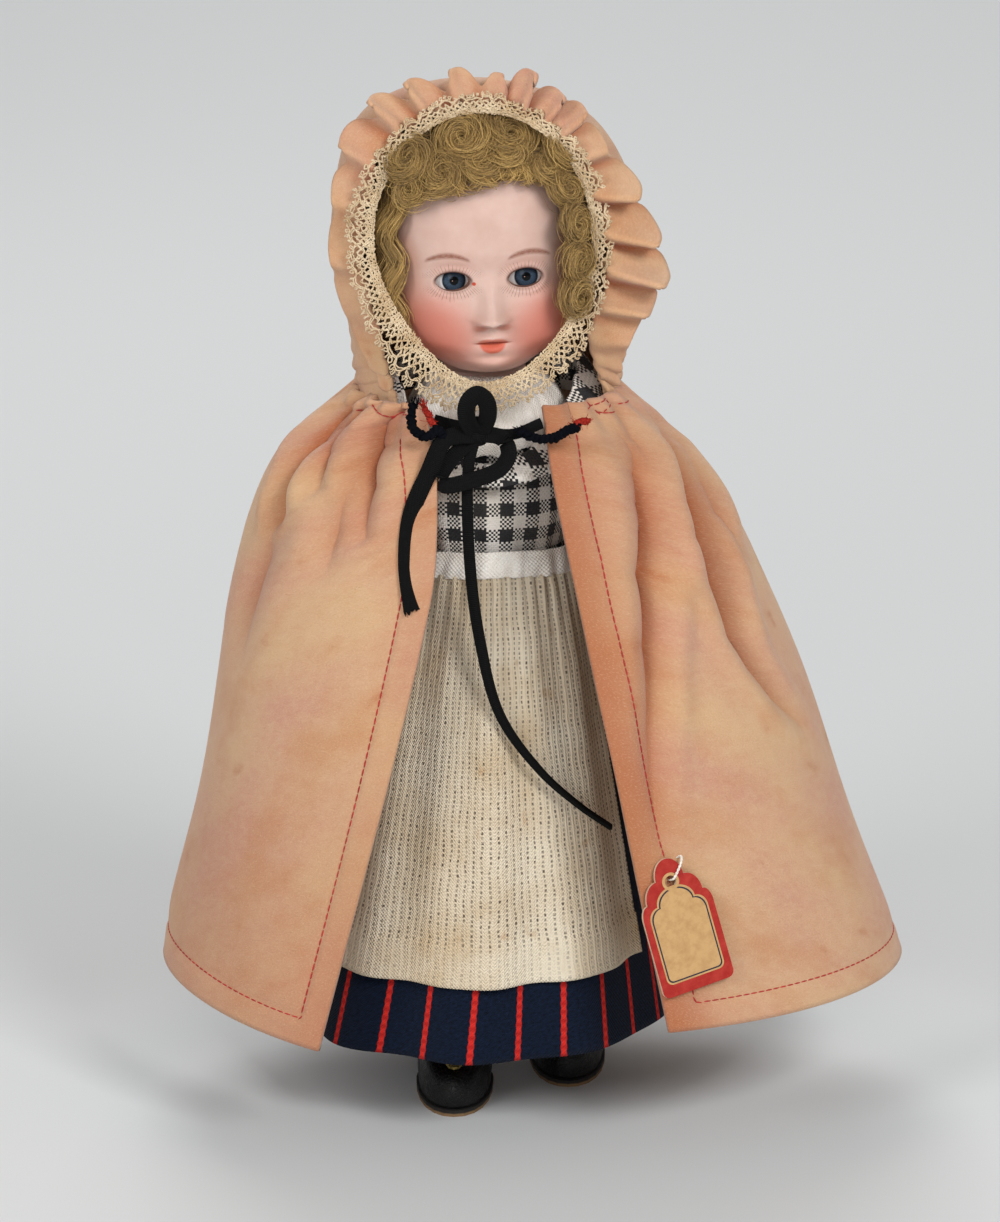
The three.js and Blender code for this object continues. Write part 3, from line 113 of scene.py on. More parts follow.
bend_steps, bend_radius, bend_start = 24, 0.35, 3.2
paper_front, paper_high, paper_half = -4.0, 2.2, 4.5
paper_line = [(paper_front, 0.0), (bend_start, 0.0)]
for step in range(1, bend_steps + 1):
    turn = math.pi / 2 * step / bend_steps
    paper_line.append((bend_start + bend_radius * math.sin(turn), bend_radius * (1 - math.cos(turn))))
paper_line.append((bend_start + bend_radius, paper_high))
paper_mesh = bpy.data.meshes.new("paper_sweep")
paper_points = [(x, y, z) for y, z in paper_line for x in (-paper_half, paper_half)]
paper_faces = [(2 * k, 2 * k + 1, 2 * k + 3, 2 * k + 2) for k in range(len(paper_line) - 1)]
paper_mesh.from_pydata(paper_points, [], paper_faces)
paper_mesh.polygons.foreach_set("use_smooth", [True] * len(paper_faces))
# Sweep paper: smooth and matt, a pale cool grey.
paper_mesh.materials.append(start_material("sweep paper", Base_Color="#cfd1d2", Roughness=0.85)[0])
sweep = bpy.data.objects.new("paper_sweep", paper_mesh)
bpy.context.collection.objects.link(sweep)


# Body: a hollow composition torso with one-piece composition arms and legs, strung on round elastic.
# The limbs hang from wire hooks; almost all of it is hidden by the clothes.

def put(tree, kind, *inputs, **settings):
    """Adds a node with its settings and fills its inputs, in order or from a dict of their names.

    Its kind may be followed by an operation or a data type, and is a shader's unless it says otherwise."""
    kind, _, mode = kind.partition(" ")
    node = tree.nodes.new(kind if "Node" in kind else "ShaderNode" + kind)
    if mode:
        setattr(node, "operation" if hasattr(node, "operation") else "data_type", mode)
    for name, value in settings.items():
        setattr(node, name, value)
    if not (inputs and isinstance(inputs[0], dict)):
        in_use = [k for k, socket in enumerate(node.inputs) if socket.enabled]
        inputs = [dict(zip(in_use, inputs))]
    fill(tree, node, inputs[0])
    return node


def grained(name, dark, light, scale, depth, roughness, **sockets):
    """A plain finish whose colour and height wander at one size of grain, given per metre."""
    made, tree, shader = start_material(name, Roughness=roughness, **sockets)
    where = put(tree, "TexCoord").outputs["Object"]
    grain = put(tree, "TexNoise", where, scale, 5, 0.55)
    wander = put(tree, "TexNoise", where, scale / 9, 3, 0.55)
    both = put(tree, "Math MULTIPLY_ADD", grain, 0.5, put(tree, "Math MULTIPLY", wander, 0.5))
    shade = put(tree, "Mix RGBA", put(tree, "MapRange", both, 0.35, 0.65), dark, light)
    bump = put(tree, "Bump", {"Distance": depth, "Height": grain})
    fill(tree, shader, {"Base Color": shade, "Normal": bump})
    return made


finish = {
    # Eggshell flesh paint over a fine grit.
    "composition": grained("painted composition", "#c99a80", "#e0b79f", 900, 0.00006, 0.42),
    # A ribbed cotton cover, matt and off-white.
    "elastic": grained("covered elastic", "#bfb6a4", "#e4ddcd", 2600, 0.00012, 0.85),
    # Grey metal with the dull gloss of the drawing die.
    "steel_wire": grained("drawn iron wire", "#5d5b58", "#8d8a86", 1800, 0.00002, 0.38, Metallic=1.0),
    # Pale wood with a close, silky grain.
    "plug_wood": grained("turned limewood", "#b08a5c", "#d6b382", 700, 0.00008, 0.6),
    # Soft grey metal, dimpled by the mould.
    "lead": grained("cast lead", "#57595c", "#7b7d80", 600, 0.00012, 0.5, Metallic=1.0),
    # Chalky white, left rough by the brush.
    "plaster": grained("plaster dab", "#ded8ca", "#f0ebdf", 500, 0.0002, 0.9),
    # Board with a matt black face and a fibrous edge.
    "card": grained("dark pasteboard", "#0d0b0a", "#1f1a16", 1300, 0.00008, 0.85),
    # Yellow metal gone dull and brown.
    "rosette_brass": grained("stamped brass", "#5a4d2e", "#8d7a48", 1500, 0.00005, 0.42, Metallic=1.0),
}
# The sole's lowest edge is worn down to the raw tan of the board.
tree = finish["card"].node_tree
shader = tree.nodes["Principled BSDF"]
above_floor = put(tree, "SeparateXYZ", put(tree, "TexCoord").outputs["Object"]).outputs[2]
blacked = shader.inputs["Base Color"].links[0].from_socket
worn = put(tree, "MapRange", above_floor, 0.0009, 0.0006)
fill(tree, shader, {"Base Color": put(tree, "Mix RGBA", worn, blacked, "#7a5f40")})

slot_of = {part["node"]: part["material_slot"] for part in frame["record"]["subparts"]}
for node, slot in slot_of.items():
    if slot in finish:
        made = frame["nodes"][node]
        made.data.materials.clear()
        made.data.materials.append(finish[slot])


# Shoes: black oilcloth uppers, sewn at the heel and drawn down over a welted card sole.
# Each has a stamped brass rosette on the vamp, and rides on its leg.

def through(rows):
    """A smooth run of values through stations, each a place and the values there."""
    rows = np.array(sorted(rows), float)
    places, values = rows[:, 0], rows[:, 1:]
    after = np.minimum(np.arange(len(rows)) + 1, len(rows) - 1)
    before = np.maximum(np.arange(len(rows)) - 1, 0)
    slopes = (values[after] - values[before]) / (places[after] - places[before])[:, None]

    def at(place):
        place = np.clip(np.asarray(place, float), places[0], places[-1])
        k = np.clip(np.searchsorted(places, place), 1, len(places) - 1)
        span = (places[k] - places[k - 1])[..., None]
        t = (place - places[k - 1])[..., None] / span
        rise = (values[k] - values[k - 1]) * t * t * (3 - 2 * t)
        bend = t * (1 - t) * ((1 - t) * slopes[k - 1] - t * slopes[k]) * span
        return np.moveaxis(values[k - 1] + rise + bend, -1, 0)

    return at


def on_ring(turn, z, left, right, front, back, square=2.0, x=0.0, y=0.0):
    """Points round an oval, at angles from the front towards the doll's left."""
    s, c = np.sin(turn), np.cos(turn)
    swell = (np.abs(s) ** square + np.abs(c) ** square) ** (-1 / square)
    across = np.where(s > 0, left, right) * s * swell
    deep = np.where(c > 0, front, back) * c * swell
    return np.stack(np.broadcast_arrays(x + across, y - deep, z), -1)


def full_turn(count):
    """Angles at even steps round a full turn."""
    return np.linspace(0, 2 * math.pi, count, endpoint=False)


stand = np.array([-11.1, -0.2, 0.0])  # the doll's own axis in the part's frame, in mm


def make_piece(name, points, faces, made, corners_uv=None):
    """A smooth mesh of millimetre points in the doll's own frame, as a piece in the part's frame."""
    mesh = bpy.data.meshes.new(name)
    mesh.from_pydata(((np.asarray(points) + stand) / 1000).tolist(), [], np.asarray(faces).tolist())
    if corners_uv is not None:
        layer = mesh.uv_layers.new(name="cloth")
        layer.data.foreach_set("uv", np.asarray(corners_uv, np.float32).ravel())
    mesh.polygons.foreach_set("use_smooth", np.ones(len(mesh.polygons), bool))
    mesh.materials.append(made)
    piece = bpy.data.objects.new(name, mesh)
    bpy.context.collection.objects.link(piece)
    return piece


def net_piece(name, net, made, size=(1.0, 1.0), closed=False, flip=False, uv=None):
    """A piece over a net of points, rows by columns, with a UV map in millimetres of cloth."""
    rows, columns = net.shape[:2]
    steps = columns if closed else columns - 1
    r, c = np.meshgrid(np.arange(rows - 1), np.arange(steps), indexing="ij")
    down = np.stack([r, r + 1, r + 1, r], -1).reshape(-1, 4)
    along = np.stack([c, c, c + 1, c + 1], -1).reshape(-1, 4)
    if flip:
        down, along = down[:, ::-1], along[:, ::-1]
    faces = down * columns + along % columns
    if uv is None:
        corners = np.stack([along / steps * size[0], down / (rows - 1) * size[1]], -1)
    else:
        corners = uv[down, along % columns]
    return make_piece(name, net.reshape(-1, 3), faces, made, corners)


shoe_front, shoe_back, shoe_side = 24.0, 9.4, 9.2
shoe_height, shoe_wall, shoe_base = 15.5, 1.1, 2.0
ankles = {"left": (20.0, 17.0), "right": (-8.0, -4.0)}
shoe_shape = through([
    (0, 0.985, 0.98, 0.97),
    (0.25, 1, 1, 1),
    (0.48, 0.92, 0.99, 0.98),
    (0.64, 0.71, 0.96, 0.935),
    (0.8, 0.47, 0.94, 0.9),
    (1, 0.37, 0.91, 0.87),
])

# Oilcloth: a black varnish skin over cotton, glossy, with fine crazing and grey scuffs at the toe.
oilcloth, tree, shader = start_material("black oilcloth", Roughness=0.45, Specular_IOR_Level=0.3)
where = put(tree, "TexCoord").outputs["Object"]
scuff = put(tree, "TexNoise", where, 220, 6, 0.7)
craze = put(tree, "TexVoronoi", {"Vector": where, "Scale": 900}, feature="DISTANCE_TO_EDGE")
black = put(tree, "Mix RGBA", put(tree, "MapRange", scuff, 0.56, 0.74), "#040404", "#1c1a18")
dulled = put(tree, "MapRange", scuff, 0.4, 0.7, 0.34, 0.65)
bump = put(tree, "Bump", {"Distance": 0.00008, "Height": put(tree, "MapRange", craze, 0.0, 0.12)})
fill(tree, shader, {"Base Color": black, "Roughness": dulled, "Normal": bump})

for name, (x, y) in ankles.items():
    turns = full_turn(72)
    outside = [(h, 0.0) for h in np.linspace(0, 0.97, 30)]
    rim = [(1.0, 0.12), (1.012, 0.5), (1.0, 0.98)]
    inside = [(h, shoe_wall) for h in (0.9, 0.7, 0.45)]
    rings = []
    for h, inset in [(0.0, 4.0)] + outside + rim + inside:
        toe, heel, wide = shoe_shape(h)
        crease = 0.35 * math.exp(-((h - 0.5) / 0.1) ** 2) * np.cos(9 * turns) * (np.cos(turns) > 0)
        half = wide * shoe_side - inset
        ahead = toe * shoe_front - inset + crease
        behind = heel * shoe_back - inset
        rings.append(on_ring(turns, shoe_base + h * shoe_height, half, half, ahead, behind, 2.2, x, y))
    upper = net_piece(f"{name}_shoe_cloth", np.array(rings), oilcloth, (58, 30), closed=True, flip=True)
    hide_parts(f"{name}_shoe_upper")
    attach(upper, f"{name}_leg")


# Head: a poured bisque socket head, fired matt and painted by hand, with an open crown under the wig.
# The eye openings are cut through the wall and the ball of the neck sits in the torso's socket.

def swell(x, centre, width):
    """A soft bump of height one round a centre."""
    return np.exp(-(((x - centre) / width) ** 2))


def soft_step(x, low, high):
    """Rises from nought to one between two places, level at both ends."""
    t = np.clip((x - low) / (high - low), 0, 1)
    return t * t * (3 - 2 * t)


chin_rise, head_height, head_side, head_front, head_back = 10.5, 57.0, 23.0, 25.6, 24.0
crown_cut = 45.0
eye_rise, eye_apart, eye_radius, eye_ahead = 22.0, 8.5, 5.9, 15.7
neck_height, head_tilt, head_turn = 173.5, math.radians(-2.5), math.radians(5)
head_turned = Matrix.Rotation(head_tilt, 4, "Y") @ Matrix.Rotation(head_turn, 4, "Z")
head_turned = np.array(Matrix.Translation((0, 0, neck_height)) @ head_turned)
head_shape = through([
    (1, 0.06, 0.06, 0.06),
    (0.985, 0.3, 0.27, 0.28),
    (0.93, 0.6, 0.58, 0.6),
    (0.82, 0.84, 0.83, 0.84),
    (0.68, 0.96, 0.965, 0.965),
    (0.54, 1, 1, 1),
    (0.4, 1, 0.985, 0.985),
    (0.26, 0.975, 0.985, 0.93),
    (0.14, 0.885, 0.985, 0.8),
    (0.06, 0.71, 0.975, 0.62),
    (0, 0.5, 0.86, 0.5),
])


def from_head(points):
    """Points placed from the neck socket, brought to the turned and tilted head."""
    return np.asarray(points) @ head_turned[:3, :3].T + head_turned[:3, 3]


def on_egg(turn, h, grow):
    """Points on the plain egg of the head, at angles and at shares of its height, grown outwards."""
    w, f, b = head_shape(h)
    square = 2 + 0.5 * soft_step(h, 0.06, 0.14) * (1 - soft_step(h, 0.86, 0.94))
    return on_ring(turn, chin_rise + h * head_height, w * head_side + grow, w * head_side + grow,
                   f * head_front + grow, b * head_back + grow, square)


def features(x, up):
    """How far the face stands out from the egg, by millimetres across and up from the chin."""
    side = np.abs(x)
    nose_wide = 2.4 + 1.2 * (1 - soft_step(up, 11, 20))
    nose_foot = soft_step(up, 10.4 + 0.32 * side, 12.2 + 0.32 * side)
    nose = 4.2 * swell(x, 0, nose_wide) * nose_foot * (1 - soft_step(up, 12.0, 24.5))
    tip = 0.9 * swell(x, 0, 2.3) * swell(up, 12.9, 1.9)
    wings = 1.5 * swell(side, 2.9, 1.6) * swell(up, 12.1, 1.5)
    upper_lip = 0.9 * swell(side, 1.2, 2.4) * swell(up, 8.5, 1.0)
    parting = -0.55 * swell(x, 0, 3.4) * swell(up, 7.3, 0.45)
    lower_lip = 1.1 * swell(x, 0, 2.6) * swell(up, 5.9, 1.1)
    under_lip = -0.5 * swell(x, 0, 3.5) * swell(up, 3.8, 0.9)
    chin = 1.5 * swell(x, 0, 5) * swell(up, 1.6, 2.2)
    groove = -0.25 * swell(x, 0, 0.9) * swell(up, 9.6, 1.0)
    cheeks = 1.5 * swell(side, 13, 7) * swell(up, 11, 7)
    sockets = -2.2 * swell(side, eye_apart, 5) * swell(up, eye_rise, 3.6)
    lids = 0.5 * swell(np.hypot((side - eye_apart) / 4.7, (up - eye_rise) / 3.1), 1.0, 0.22)
    brows = 0.5 * swell(side, eye_apart, 6) * swell(up, eye_rise + 6, 2.4)
    middle = nose + tip + wings + upper_lip + parting + lower_lip + under_lip + chin + groove
    return middle + cheeks + sockets + lids + brows


# Bisque paint: matt flesh with a fine tooth, fired blush, and brows, lashes and lips in thin colour, with painted
# shade at the temples, under the nose and along the upper lids.
# The UV map holds millimetres across and up from the chin, so that the painter's strokes keep their sizes.
bisque, tree, shader = start_material("painted bisque", Roughness=0.46, Specular_IOR_Level=0.35,
                                      Subsurface_Weight=0.12, Subsurface_Scale=0.0015,
                                      Subsurface_Radius=(1.0, 0.45, 0.3))
face_uv = put(tree, "UVMap", uv_map="cloth")
across, up, _ = put(tree, "SeparateXYZ", face_uv).outputs
beside = put(tree, "Math ABSOLUTE", across)
folded_uv = put(tree, "CombineXYZ", beside, up)


def round_patch(x, z, width, height, hard=0.0, place=folded_uv):
    """How much of a soft oval of paint lies here, on both cheeks alike; hard brings its edge in."""
    off = put(tree, "VectorMath SUBTRACT", place, (x, z, 0))
    off = put(tree, "VectorMath DIVIDE", off, (width, height, 1))
    far = put(tree, "VectorMath DOT_PRODUCT", off, off)
    return put(tree, "MapRange", far, 1.0, hard, interpolation_type="SMOOTHSTEP")


def stroke(line_height, half_width, blur):
    """A painted line that runs across the face at a given height."""
    off = put(tree, "Math ABSOLUTE", put(tree, "Math SUBTRACT", up, line_height))
    return put(tree, "MapRange", put(tree, "Math SUBTRACT", off, half_width), blur, -blur)


def arch(middle, reach, top, sag):
    """A height that falls away on both sides of a middle, and the share of its reach that is left there."""
    off = put(tree, "Math DIVIDE", put(tree, "Math SUBTRACT", beside, middle), reach)
    square = put(tree, "Math MULTIPLY", off, off)
    left = put(tree, "Math MAXIMUM", put(tree, "Math SUBTRACT", 1.0, square), 0.0)
    return put(tree, "Math SUBTRACT", top, put(tree, "Math MULTIPLY", square, sag)), left


blush = put(tree, "Math POWER", round_patch(16.4, 8.0, 18.5, 17), 1.6)

brow_line, brow_left = arch(9.6, 5.5, 28.6, 1.6)
brow = stroke(brow_line, put(tree, "Math MULTIPLY", put(tree, "Math SQRT", brow_left), 0.62), 0.36)
brushed = put(tree, "Mapping", {"Vector": face_uv, "Scale": (1.2, 3.2, 1)})
hairs = put(tree, "MapRange", put(tree, "TexNoise", brushed, 1.0, 2, 0.55), 0.3, 0.62, 0.62, 0.92)

# Lashes fan out from each eye; places round it are shares of the eye's half width and half height.
lash_fan, lash_far = 25.0, 3.4
off_eye = put(tree, "VectorMath SUBTRACT", folded_uv, (eye_apart, eye_rise, 0))
around = put(tree, "VectorMath DIVIDE", off_eye, (3.95, 2.3, 1))
around_z = put(tree, "SeparateXYZ", around).outputs[1]
from_eye = put(tree, "VectorMath LENGTH", around)
above = put(tree, "Math GREATER_THAN", around_z, 0.0)
below = put(tree, "Math SUBTRACT", 1.0, above)
off_x, off_z, _ = put(tree, "SeparateXYZ", off_eye).outputs
fan = put(tree, "Math DIVIDE", off_x, put(tree, "Math ADD", put(tree, "Math ABSOLUTE", off_z), lash_far))
fan = put(tree, "Math ABSOLUTE", put(tree, "Math SINE", put(tree, "Math MULTIPLY", fan, lash_fan)))
uneven = put(tree, "TexNoise", put(tree, "Math MULTIPLY", across, 2.2), 1.0, 1, 0.55)
lash_length = put(tree, "MapRange", uneven, 0.3, 0.7, 1.6, 2.25)
lash = (
    put(tree, "MapRange", fan, 0.38, 0.1),
    put(tree, "MapRange", put(tree, "Math SUBTRACT", from_eye, lash_length), 0.0, -0.3),
    put(tree, "MapRange", from_eye, 0.98, 1.04),
    put(tree, "MapRange", put(tree, "Math ABSOLUTE", around_z), 0.3, 0.7),
)
off_rim = put(tree, "Math ABSOLUTE", put(tree, "Math SUBTRACT", from_eye, 1.03))
lid_line = put(tree, "MapRange", off_rim, 0.19, 0.05)
mouth_line, mouth_left = arch(0.0, 5.2, 7.35, -0.15)
parted = stroke(mouth_line, put(tree, "Math MULTIPLY", mouth_left, 0.3), 0.16)

# Each layer of paint: its colour, then the masks and shares that together say how thick it lies.
blotch = put(tree, "TexNoise", face_uv, 0.16, 4, 0.55)
skin = put(tree, "Mix RGBA", put(tree, "MapRange", blotch, 0.3, 0.7), "#c8a597", "#d2b3a7")
for colour, thick, *shares in (
    ("#c2624c", blush, 0.82),
    # Painted shade: reddish brown at the temples, where the hair shades the face.
    ("#b57a66", round_patch(20.5, 24, 6.5, 13), 0.55),
    ("#d68c78", round_patch(0, 1.4, 8, 4.5), 0.28),
    ("#d39a8a", round_patch(eye_apart, 25.4, 7, 3), 0.3),
    # Reddish nostril paint, spread along the underside of the nose as painted shade.
    ("#b5654f", round_patch(2.7, 11.2, 2.4, 1.2), 0.6),
    ("#85503d", brow, hairs, put(tree, "MapRange", brow_left, 0.0, 0.3)),
    ("#4f3529", *lash, below, 0.62),
    ("#5c4640", *lash, above, 0.55),
    # The lid lining round each opening, painted thicker along the upper lid as painted shade of the lid.
    ("#4a281d", lid_line, put(tree, "MapRange", around_z, -0.6, 0.3, 0.15, 0.9)),
    ("#b8402c", round_patch(-3.7, 21.6, 0.55, 0.5, 0.4, face_uv)),
    ("#cb5a40", round_patch(0, 7.2, 3.4, 2.5, 0.55, face_uv), put(tree, "MapRange", up, 7.45, 7.2), 0.9),
    ("#c4674f", round_patch(1.25, 7.2, 2.7, 1.5, 0.5), put(tree, "MapRange", up, 7.1, 7.3), 0.7),
    ("#7d2c18", parted, put(tree, "MapRange", mouth_left, 0.05, 0.6)),
):
    for share in shares:
        thick = put(tree, "Math MULTIPLY", thick, share)
    skin = put(tree, "Mix RGBA", thick, skin, colour)
tooth = put(tree, "TexNoise", put(tree, "TexCoord").outputs["Object"], 3800, 3, 0.55)
bump = put(tree, "Bump", {"Distance": 0.00003, "Height": tooth})
fill(tree, shader, {"Base Color": skin, "Normal": bump})

# Eyelid edge: cut bisque, lined with thin brown where the lashes start.
lid_edge = grained("lined eyelid edge", "#7a5040", "#9c6f5e", 1500, 0.00002, 0.5)

head_turns = np.concatenate([np.linspace(-0.5, 0.5, 170, endpoint=False) * math.pi,
                             np.linspace(0.5, 1.5, 46, endpoint=False) * math.pi])
head_levels = np.concatenate([np.linspace(crown_cut / head_height, 0.58, 26, endpoint=False),
                              np.linspace(0.58, 0, 130)])
head_rings = []
for h in head_levels:
    ring = on_egg(head_turns, h, 0.0)
    facing = np.clip(np.cos(head_turns), 0, 1) ** 0.5
    ring[:, 1] -= features(ring[:, 0], h * head_height) * facing
    head_rings.append(ring)
neck_round, ball_round = 9.4, 11.5
for z, r in ((chin_rise - 0.9, 10.7), (chin_rise - 2, neck_round * 1.08), (chin_rise - 3.2, neck_round)):
    head_rings.append(on_ring(head_turns, z, r, r, r, r))
for turn in np.radians([64, 78, 90, 105, 120, 135, 150, 165]):
    r = ball_round * math.sin(turn)
    head_rings.append(on_ring(head_turns, ball_round * math.cos(turn), r, r, r, r))
head_net = np.array(head_rings)
face_map = np.stack([head_net[..., 0], head_net[..., 2] - chin_rise], -1)
bisque_head = net_piece("painted_head", from_head(head_net), bisque, closed=True, uv=face_map)


def cap_ends(piece, count):
    """Closes the first and the last ring of a lofted piece."""
    mesh = piece.data
    loops = [list(range(count)), list(range(len(mesh.vertices) - count, len(mesh.vertices)))[::-1]]
    points = [v.co[:] for v in mesh.vertices]
    faces = [list(p.vertices) for p in mesh.polygons] + loops
    corners = [d.uv[:] for d in mesh.uv_layers[0].data] + [(0.0, 30.0)] * (2 * count)
    made = mesh.materials[0]
    mesh.clear_geometry()
    mesh.from_pydata(points, [], faces)
    layer = mesh.uv_layers.get("cloth") or mesh.uv_layers.new(name="cloth")
    layer.data.foreach_set("uv", np.array(corners, np.float32).ravel())
    mesh.polygons.foreach_set("use_smooth", np.ones(len(mesh.polygons), bool))
    if not mesh.materials:
        mesh.materials.append(made)


def bake(piece):
    """The piece as its modifiers leave it, as a plain mesh."""
    bpy.context.view_layer.update()
    shown = piece.evaluated_get(bpy.context.evaluated_depsgraph_get())
    mesh = bpy.data.meshes.new_from_object(shown)
    piece.modifiers.clear()
    old, piece.data = piece.data, mesh
    bpy.data.meshes.remove(old)


def cut_away(piece, cutter, paint="INDEX"):
    """Takes the cutter out of a piece; paint says how the cut faces get their material."""
    cut = piece.modifiers.new("cut", "BOOLEAN")
    cut.operation = "DIFFERENCE"
    cut.solver = "EXACT"
    cut.material_mode = paint
    cut.object = cutter
    bake(piece)
    bpy.data.objects.remove(cutter)


cap_ends(bisque_head, len(head_turns))
opening_wide, opening_high, opening_low, opening_steps = 3.95, 2.35, 2.2, 64
turns = full_turn(opening_steps)
outline_x = opening_wide * np.cos(turns)
rise = np.sin(turns)
outline_z = np.where(rise > 0, opening_high, opening_low) * rise * (0.9 + 0.1 * np.abs(rise))
for side in (1, -1):
    walls = []
    for y, k in ((-40, 1.02), (-eye_ahead - 3.2, 1.0), (-eye_ahead - 3.0, 1.35), (-eye_ahead + 4, 1.35)):
        walls.append(np.stack([side * eye_apart + outline_x * k, np.full(opening_steps, y),
                               chin_rise + eye_rise + outline_z * k], -1))
    cutter = net_piece("eye_cutter", from_head(np.array(walls)), lid_edge, closed=True)
    cap_ends(cutter, opening_steps)
    cut_away(bisque_head, cutter, "TRANSFER")
bisque_head.data.set_sharp_from_angle(angle=math.radians(40))
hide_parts("bisque_head")
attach(bisque_head, "head")


# Eyes: blown glass cups with a spun blue-grey iris, wax lids on the upper half for when they close.
# Both sit on the wire rocker inside the head and swing with its lead weight.

# Eye glass: a smooth clear skin over white, a threaded iris with a dark rim, a black pupil and a flesh lid, with
# the lid's shadow painted as a darkening over the top of the ball.
eye_glass, tree, shader = start_material("blown eye glass", Roughness=0.1, Specular_IOR_Level=0.16)
iris_round, pupil_round, glance = 2.75, 1.05, 0.4
parts = put(tree, "SeparateXYZ", put(tree, "UVMap", uv_map="cloth"))
off_x = put(tree, "Math SUBTRACT", parts.outputs[0], glance)
off_z = parts.outputs[1]
far = put(tree, "VectorMath LENGTH", put(tree, "CombineXYZ", off_x, off_z))
bearing = put(tree, "Math ARCTAN2", off_z, off_x)
spoke = put(tree, "CombineXYZ", put(tree, "Math MULTIPLY", bearing, 9.0), far)
spun = put(tree, "Mapping", {"Vector": spoke, "Scale": (1.0, 0.35, 1.0)})
threads = put(tree, "TexNoise", spun, 1.6, 4, 0.7)
cloud = put(tree, "TexNoise", spoke, 0.5, 2, 0.55)
white = put(tree, "Mix RGBA", put(tree, "MapRange", cloud, 0.3, 0.7), "#dcdcdd", "#eceae7")
ball = put(tree, "Mix RGBA", put(tree, "MapRange", threads, 0.32, 0.68), "#1d2732", "#46586c")
for over, *edge in (
    ("#10171f", far, iris_round * 0.72, iris_round),
    ("#020203", far, pupil_round + 0.14, pupil_round - 0.1),
    (white, far, iris_round - 0.05, iris_round + 0.18),
    # Painted shade: the shadow of the upper lid, darkening the top of the ball.
    ("#17191f", off_z, 0.7, 2.5, 0.0, 0.8),
    ("#c99c89", off_z, 2.95, 3.15),
):
    ball = put(tree, "Mix RGBA", put(tree, "MapRange", *edge), ball, over)
waxed = put(tree, "MapRange", off_z, 2.95, 3.15, 0.12, 0.5)
fill(tree, shader, {"Base Color": ball, "Roughness": waxed})

cup_steps, cup_levels, cup_wall = 64, 40, 0.45
turns = full_turn(cup_steps)
bends = np.radians(np.concatenate([np.linspace(1, 116, cup_levels), [118, 114, 90]]))
radii = eye_radius - cup_wall * np.array([0] * cup_levels + [1, 2, 2])
flat = (radii * np.sin(bends))[:, None]
deep = np.broadcast_to((-radii * np.cos(bends))[:, None], (len(bends), cup_steps))
cup = np.stack([flat * np.cos(turns), deep, flat * np.sin(turns)], -1)
for name, side in (("left", 1), ("right", -1)):
    centre = np.array([side * eye_apart, -eye_ahead, chin_rise + eye_rise])
    glass = net_piece(f"{name}_eye_glass", from_head(cup + centre), eye_glass, closed=True,
                      uv=cup[..., [0, 2]])
    cap_ends(glass, cup_steps)
    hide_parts(f"{name}_eye")
    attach(glass, "eyes")


# Blouse: a black and white gingham bodice with set-in sleeves, cut from one cotton check.
# The bodice goes round the torso between neck and waist, and the sleeves ride on the arms.

hip_z, torso_length, shoulder_z = 96.0, 77.5, 157.5
torso_shape = through([
    (-0.155, 5.4, 5.94, 6.0),
    (-0.116, 12.15, 10.98, 10.05),
    (-0.04, 19.125, 16.02, 15.0),
    (0.077, 22.5, 18.0, 17.4),
    (0.245, 21.49, 18.54, 16.05),
    (0.5, 16.65, 16.56, 14.25),
    (0.67, 18.8, 18.0, 15.0),
    (0.8, 18.61, 16.56, 14.55),
    (0.89, 16.54, 14.76, 13.95),
    (0.955, 14.63, 14.48, 14.2),
    (1, 14.2, 14.2, 14.2),
])

# Gingham: warp and weft each change between black and white at half a repeat, so that the squares where they
# differ are a fine dotted grey. Its threads are drawn a little coarser than real ones, so that they show.
gingham, tree, shader = start_material("woven gingham", Roughness=0.88, Sheen_Weight=0.12)
check_repeat, check_thread = 6.24, 0.52
parts = put(tree, "SeparateXYZ", put(tree, "UVMap", uv_map="cloth"))
bands, ridges, counts = [], [], []
for axis in (0, 1):
    place = parts.outputs[axis]
    repeat = put(tree, "Math FRACT", put(tree, "Math DIVIDE", place, check_repeat))
    bands.append(put(tree, "Math GREATER_THAN", repeat, 0.5))
    thread = put(tree, "Math SINE", put(tree, "Math MULTIPLY", place, math.pi / check_thread))
    ridges.append(put(tree, "Math ABSOLUTE", thread))
    counts.append(put(tree, "Math FLOOR", put(tree, "Math DIVIDE", place, check_thread)))
over = put(tree, "Math PINGPONG", put(tree, "Math ADD", counts[0], counts[1]), 1.0)
dark = put(tree, "Mix", over, bands[0], bands[1])
ridge = put(tree, "Mix", over, ridges[1], ridges[0])
soil = put(tree, "TexNoise", put(tree, "TexCoord").outputs["Object"], 90, 4, 0.55)
white = put(tree, "Mix RGBA", put(tree, "MapRange", soil, 0.35, 0.7), "#fffaf2", "#ece3d6")
black = put(tree, "Mix RGBA", put(tree, "MapRange", soil, 0.35, 0.7), "#1d1d22", "#33322f")
bump = put(tree, "Bump", {"Distance": 0.00012, "Height": ridge})
fill(tree, shader, {"Base Color": put(tree, "Mix RGBA", dark, white, black), "Normal": bump})


def thicken(piece, thickness):
    """Gives a sheet the thickness of its cloth, half to each side."""
    cloth = piece.modifiers.new("cloth", "SOLIDIFY")
    cloth.thickness = thickness / 1000
    cloth.offset = 0.0
    cloth.use_even_offset = False
    return piece


